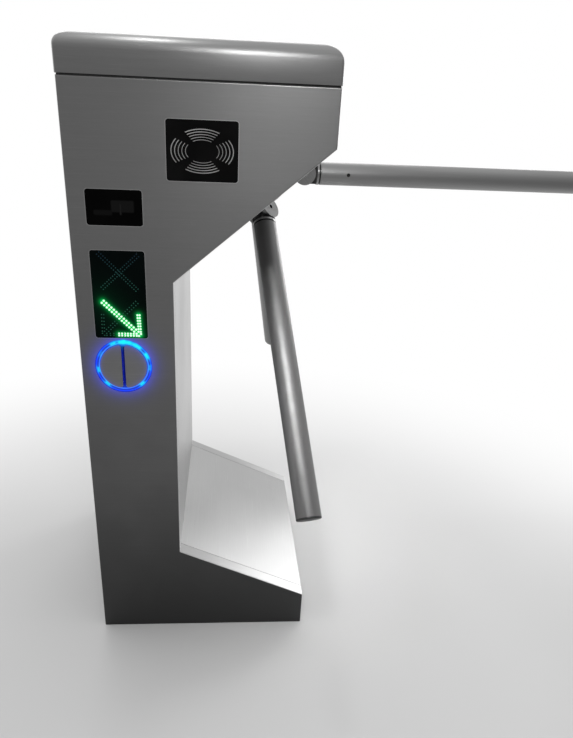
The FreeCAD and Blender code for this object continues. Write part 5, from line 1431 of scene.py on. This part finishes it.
def louvre_mesh(name, width, height, out):
    """A raised air louvre on z = 0."""
    rings = [flat_ring(width, height, share * out, height / 2 - share * out, level * out)
             for share, level in ((0.0, 0.0), (0.3, 0.7), (1.0, 1.0))]
    return skinned(name, rings, degrees=60.0)


def make_cases():
    """The control unit with its terminals and cover screws, and the power supply with its louvres
    and terminals."""
    from_edge = 7 * MM
    origin, size = make_case("control_case", "control_unit", dark_case, "black_plastic", 5 * MM)
    corners = [origin + Vector((across * (size.x / 2 - from_edge), -size.z,
                                up * (size.y / 2 - from_edge)))
               for across in (-1, 1) for up in (-1, 1)]
    profile = button_profile(3 * MM, 1.6 * MM, 1.5 * MM, 3 * MM)
    screw = socket_fixing("cover_screw", profile, 1.2 * MM, 1.0 * MM)
    screws = set_fixings("control_case_screws", screw, corners, -Y_AXIS, fastener_steel)
    finish_piece(screws, "cabinet", "fastener_steel")

    pitch = 7.5 * MM
    from_wall = 16 * MM
    block = block_mesh("terminal", width=7 * MM, length=13 * MM, height=10 * MM, recess=2.2 * MM)
    for name, terminals, node in (("control_terminals", 11, "control_unit"),
                                  ("supply_terminals", 9, "power_supply")):
        low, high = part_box(node)
        middle_x = (low.x + high.x) / 2
        places = [Vector((middle_x + (number - (terminals - 1) / 2) * pitch, high.y - from_wall,
                          high.z)) for number in range(terminals)]
        row = set_fixings(name, block, places, Z_AXIS, board)
        finish_piece(row, "cabinet", "circuit_board")

    origin, size = make_case("supply_case", "power_supply", zinc, "zinc_steel", 2 * MM)
    columns, rows = 3, 9
    across_pitch, up_pitch = 29 * MM, 15 * MM
    places = [origin + Vector(((column - 1) * across_pitch, -size.z,
                               (row - (rows - 1) / 2) * up_pitch))
              for column in range(columns) for row in range(rows)]
    louvre = louvre_mesh("louvre", width=24 * MM, height=6 * MM, out=2 * MM)
    louvres = set_fixings("supply_louvres", louvre, places, -Y_AXIS, zinc, zinc)
    finish_piece(louvres, "cabinet", "zinc_steel")


make_reader_print()
make_display_dots()
make_cabinet_screws()
make_arm_fixings()
make_spring()
make_lid()
make_lid_seal()
make_hinge_screws()
make_cases()


# Camera, found by fitting the model's corners to the photograph

IMAGE_SIZE = (573, 738)
FOCAL_PIXELS = 601.67
VIEW_CENTRE = (267.7, 390.36)
CAMERA_PLACE = Vector((0.03576, -1.11384, 0.89897))
CAMERA_FORWARD = Vector((0.07134, 0.91188, -0.4042)).normalized()
CAMERA_RIGHT = Vector((0.9974, -0.06091, 0.03861)).normalized()
SENSOR = 36.0


def make_camera():
    """The camera at the photograph's viewpoint."""
    lens = bpy.data.cameras.new("camera")
    lens.sensor_width = SENSOR
    longest = max(IMAGE_SIZE)
    lens.lens = FOCAL_PIXELS * SENSOR / longest
    lens.shift_x = (IMAGE_SIZE[0] / 2 - VIEW_CENTRE[0]) / longest
    lens.shift_y = (VIEW_CENTRE[1] - IMAGE_SIZE[1] / 2) / longest
    camera = in_scene("camera", lens)
    up = CAMERA_RIGHT.cross(CAMERA_FORWARD)
    turn = Matrix((CAMERA_RIGHT, up, -CAMERA_FORWARD)).transposed().to_4x4()
    camera.matrix_world = Matrix.Translation(CAMERA_PLACE) @ turn
    bpy.context.scene.camera = camera


# Floor, surroundings and lamps

def make_floor():
    """A wide pale floor that takes the object's shadow and melts into the surroundings."""
    half = 40.0
    below_foot = 0.5 * MM
    shadow_middle = (0.0, -0.25, 0.0)
    paper_ends, surroundings_start = 0.55, 1.5
    finish = Finish("floor_paper")
    clouds = finish.marks(1.2)["Clouds"]
    finish.set({"Base Color": finish.mix(clouds, grey(0.62), grey(0.64)), "Roughness": 0.9,
                "Specular IOR Level": 0.1})
    ground = finish.vector("MULTIPLY", finish.places, (1, 1, 0))
    apart = finish.vector("LENGTH", finish.vector("SUBTRACT", ground, shadow_middle))
    far = finish.ramp(apart, paper_ends, surroundings_start, 0.0, 1.0, True)
    rays = finish.add("ShaderNodeLightPath").outputs
    seen = finish.math("ADD", finish.math("ADD", rays["Is Camera Ray"], rays["Is Glossy Ray"]),
                       rays["Is Transmission Ray"], clamp=True)
    direction = finish.vector("NORMALIZE", ground)
    horizon = finish.group(SURROUNDINGS, {"Direction": direction})["Colour"]
    glow = finish.add("ShaderNodeEmission", {"Color": horizon, "Strength": 1.0})
    both = finish.add("ShaderNodeMixShader", {0: finish.times(far, seen),
                                              1: finish.shader.outputs[0], 2: glow.outputs[0]})
    finish.put(finish.tree.nodes["Material Output"].inputs["Surface"], both.outputs[0])
    corners = [(-half, -half, 0), (half, -half, 0), (half, half, 0), (-half, half, 0)]
    floor = object_of("floor", mesh_of("floor", corners, [(0, 1, 2, 3)]), finish.material)
    floor.location.z = -below_foot


def make_world():
    """The soft surroundings as the world's light."""
    world = bpy.data.worlds.new("studio")
    bpy.context.scene.world = world
    world.use_nodes = True
    nodes = Nodes(world.node_tree)
    direction = nodes.add("ShaderNodeTexCoord").outputs["Generated"]
    colour = nodes.group(SURROUNDINGS, {"Direction": direction})["Colour"]
    nodes.put(nodes.tree.nodes["Background"].inputs["Color"], colour)


def make_lamp(name, place, target, width, height, power, spread=180.0):
    """A soft box that faces a target; a grid narrows its spread, in degrees."""
    light = bpy.data.lights.new(name, "AREA")
    light.shape = "RECTANGLE"
    light.size = width
    light.size_y = height
    light.energy = power
    light.spread = math.radians(spread)
    lamp = in_scene(name, light)
    towards = (Vector(target) - Vector(place)).to_track_quat("-Z", "Y").to_matrix().to_4x4()
    lamp.matrix_world = Matrix.Translation(Vector(place)) @ towards
    lamp.visible_camera = False


# Each lamp's name, place, target, width, height, power in watts, and spread where it is narrowed
LAMPS = (
    ("back_box", (-0.1, 2.2, 2.3), (0.0, 0.0, 0.4), 2.4, 1.2, 24.0),
    ("passage_box", (1.5, 1.38, 0.92), (0.15, -0.2, 0.1), 0.6, 0.75, 8.5),
    ("lid_strip", (0.24, -1.5, 1.68), (0.06, -0.2, 1.02), 0.3, 0.3, 0.72, 70.0),
    ("lid_corner_strip", (-0.24, -0.2, 2.4), (-0.1, -0.2, 1.0), 0.18, 0.16, 2.4),
    ("front_box", (0.2, -2.2, 1.1), (0.02, 0.0, 0.9), 0.3, 0.4, 0.15),
    ("arm_box", (-0.15, -1.1, 1.86), (0.136, -0.268, 0.525), 0.25, 0.25, 0.2, 18.0),
)
make_camera()
make_floor()
make_world()
for lamp in LAMPS:
    make_lamp(*lamp)
bpy.context.scene.view_settings.view_transform = "Standard"
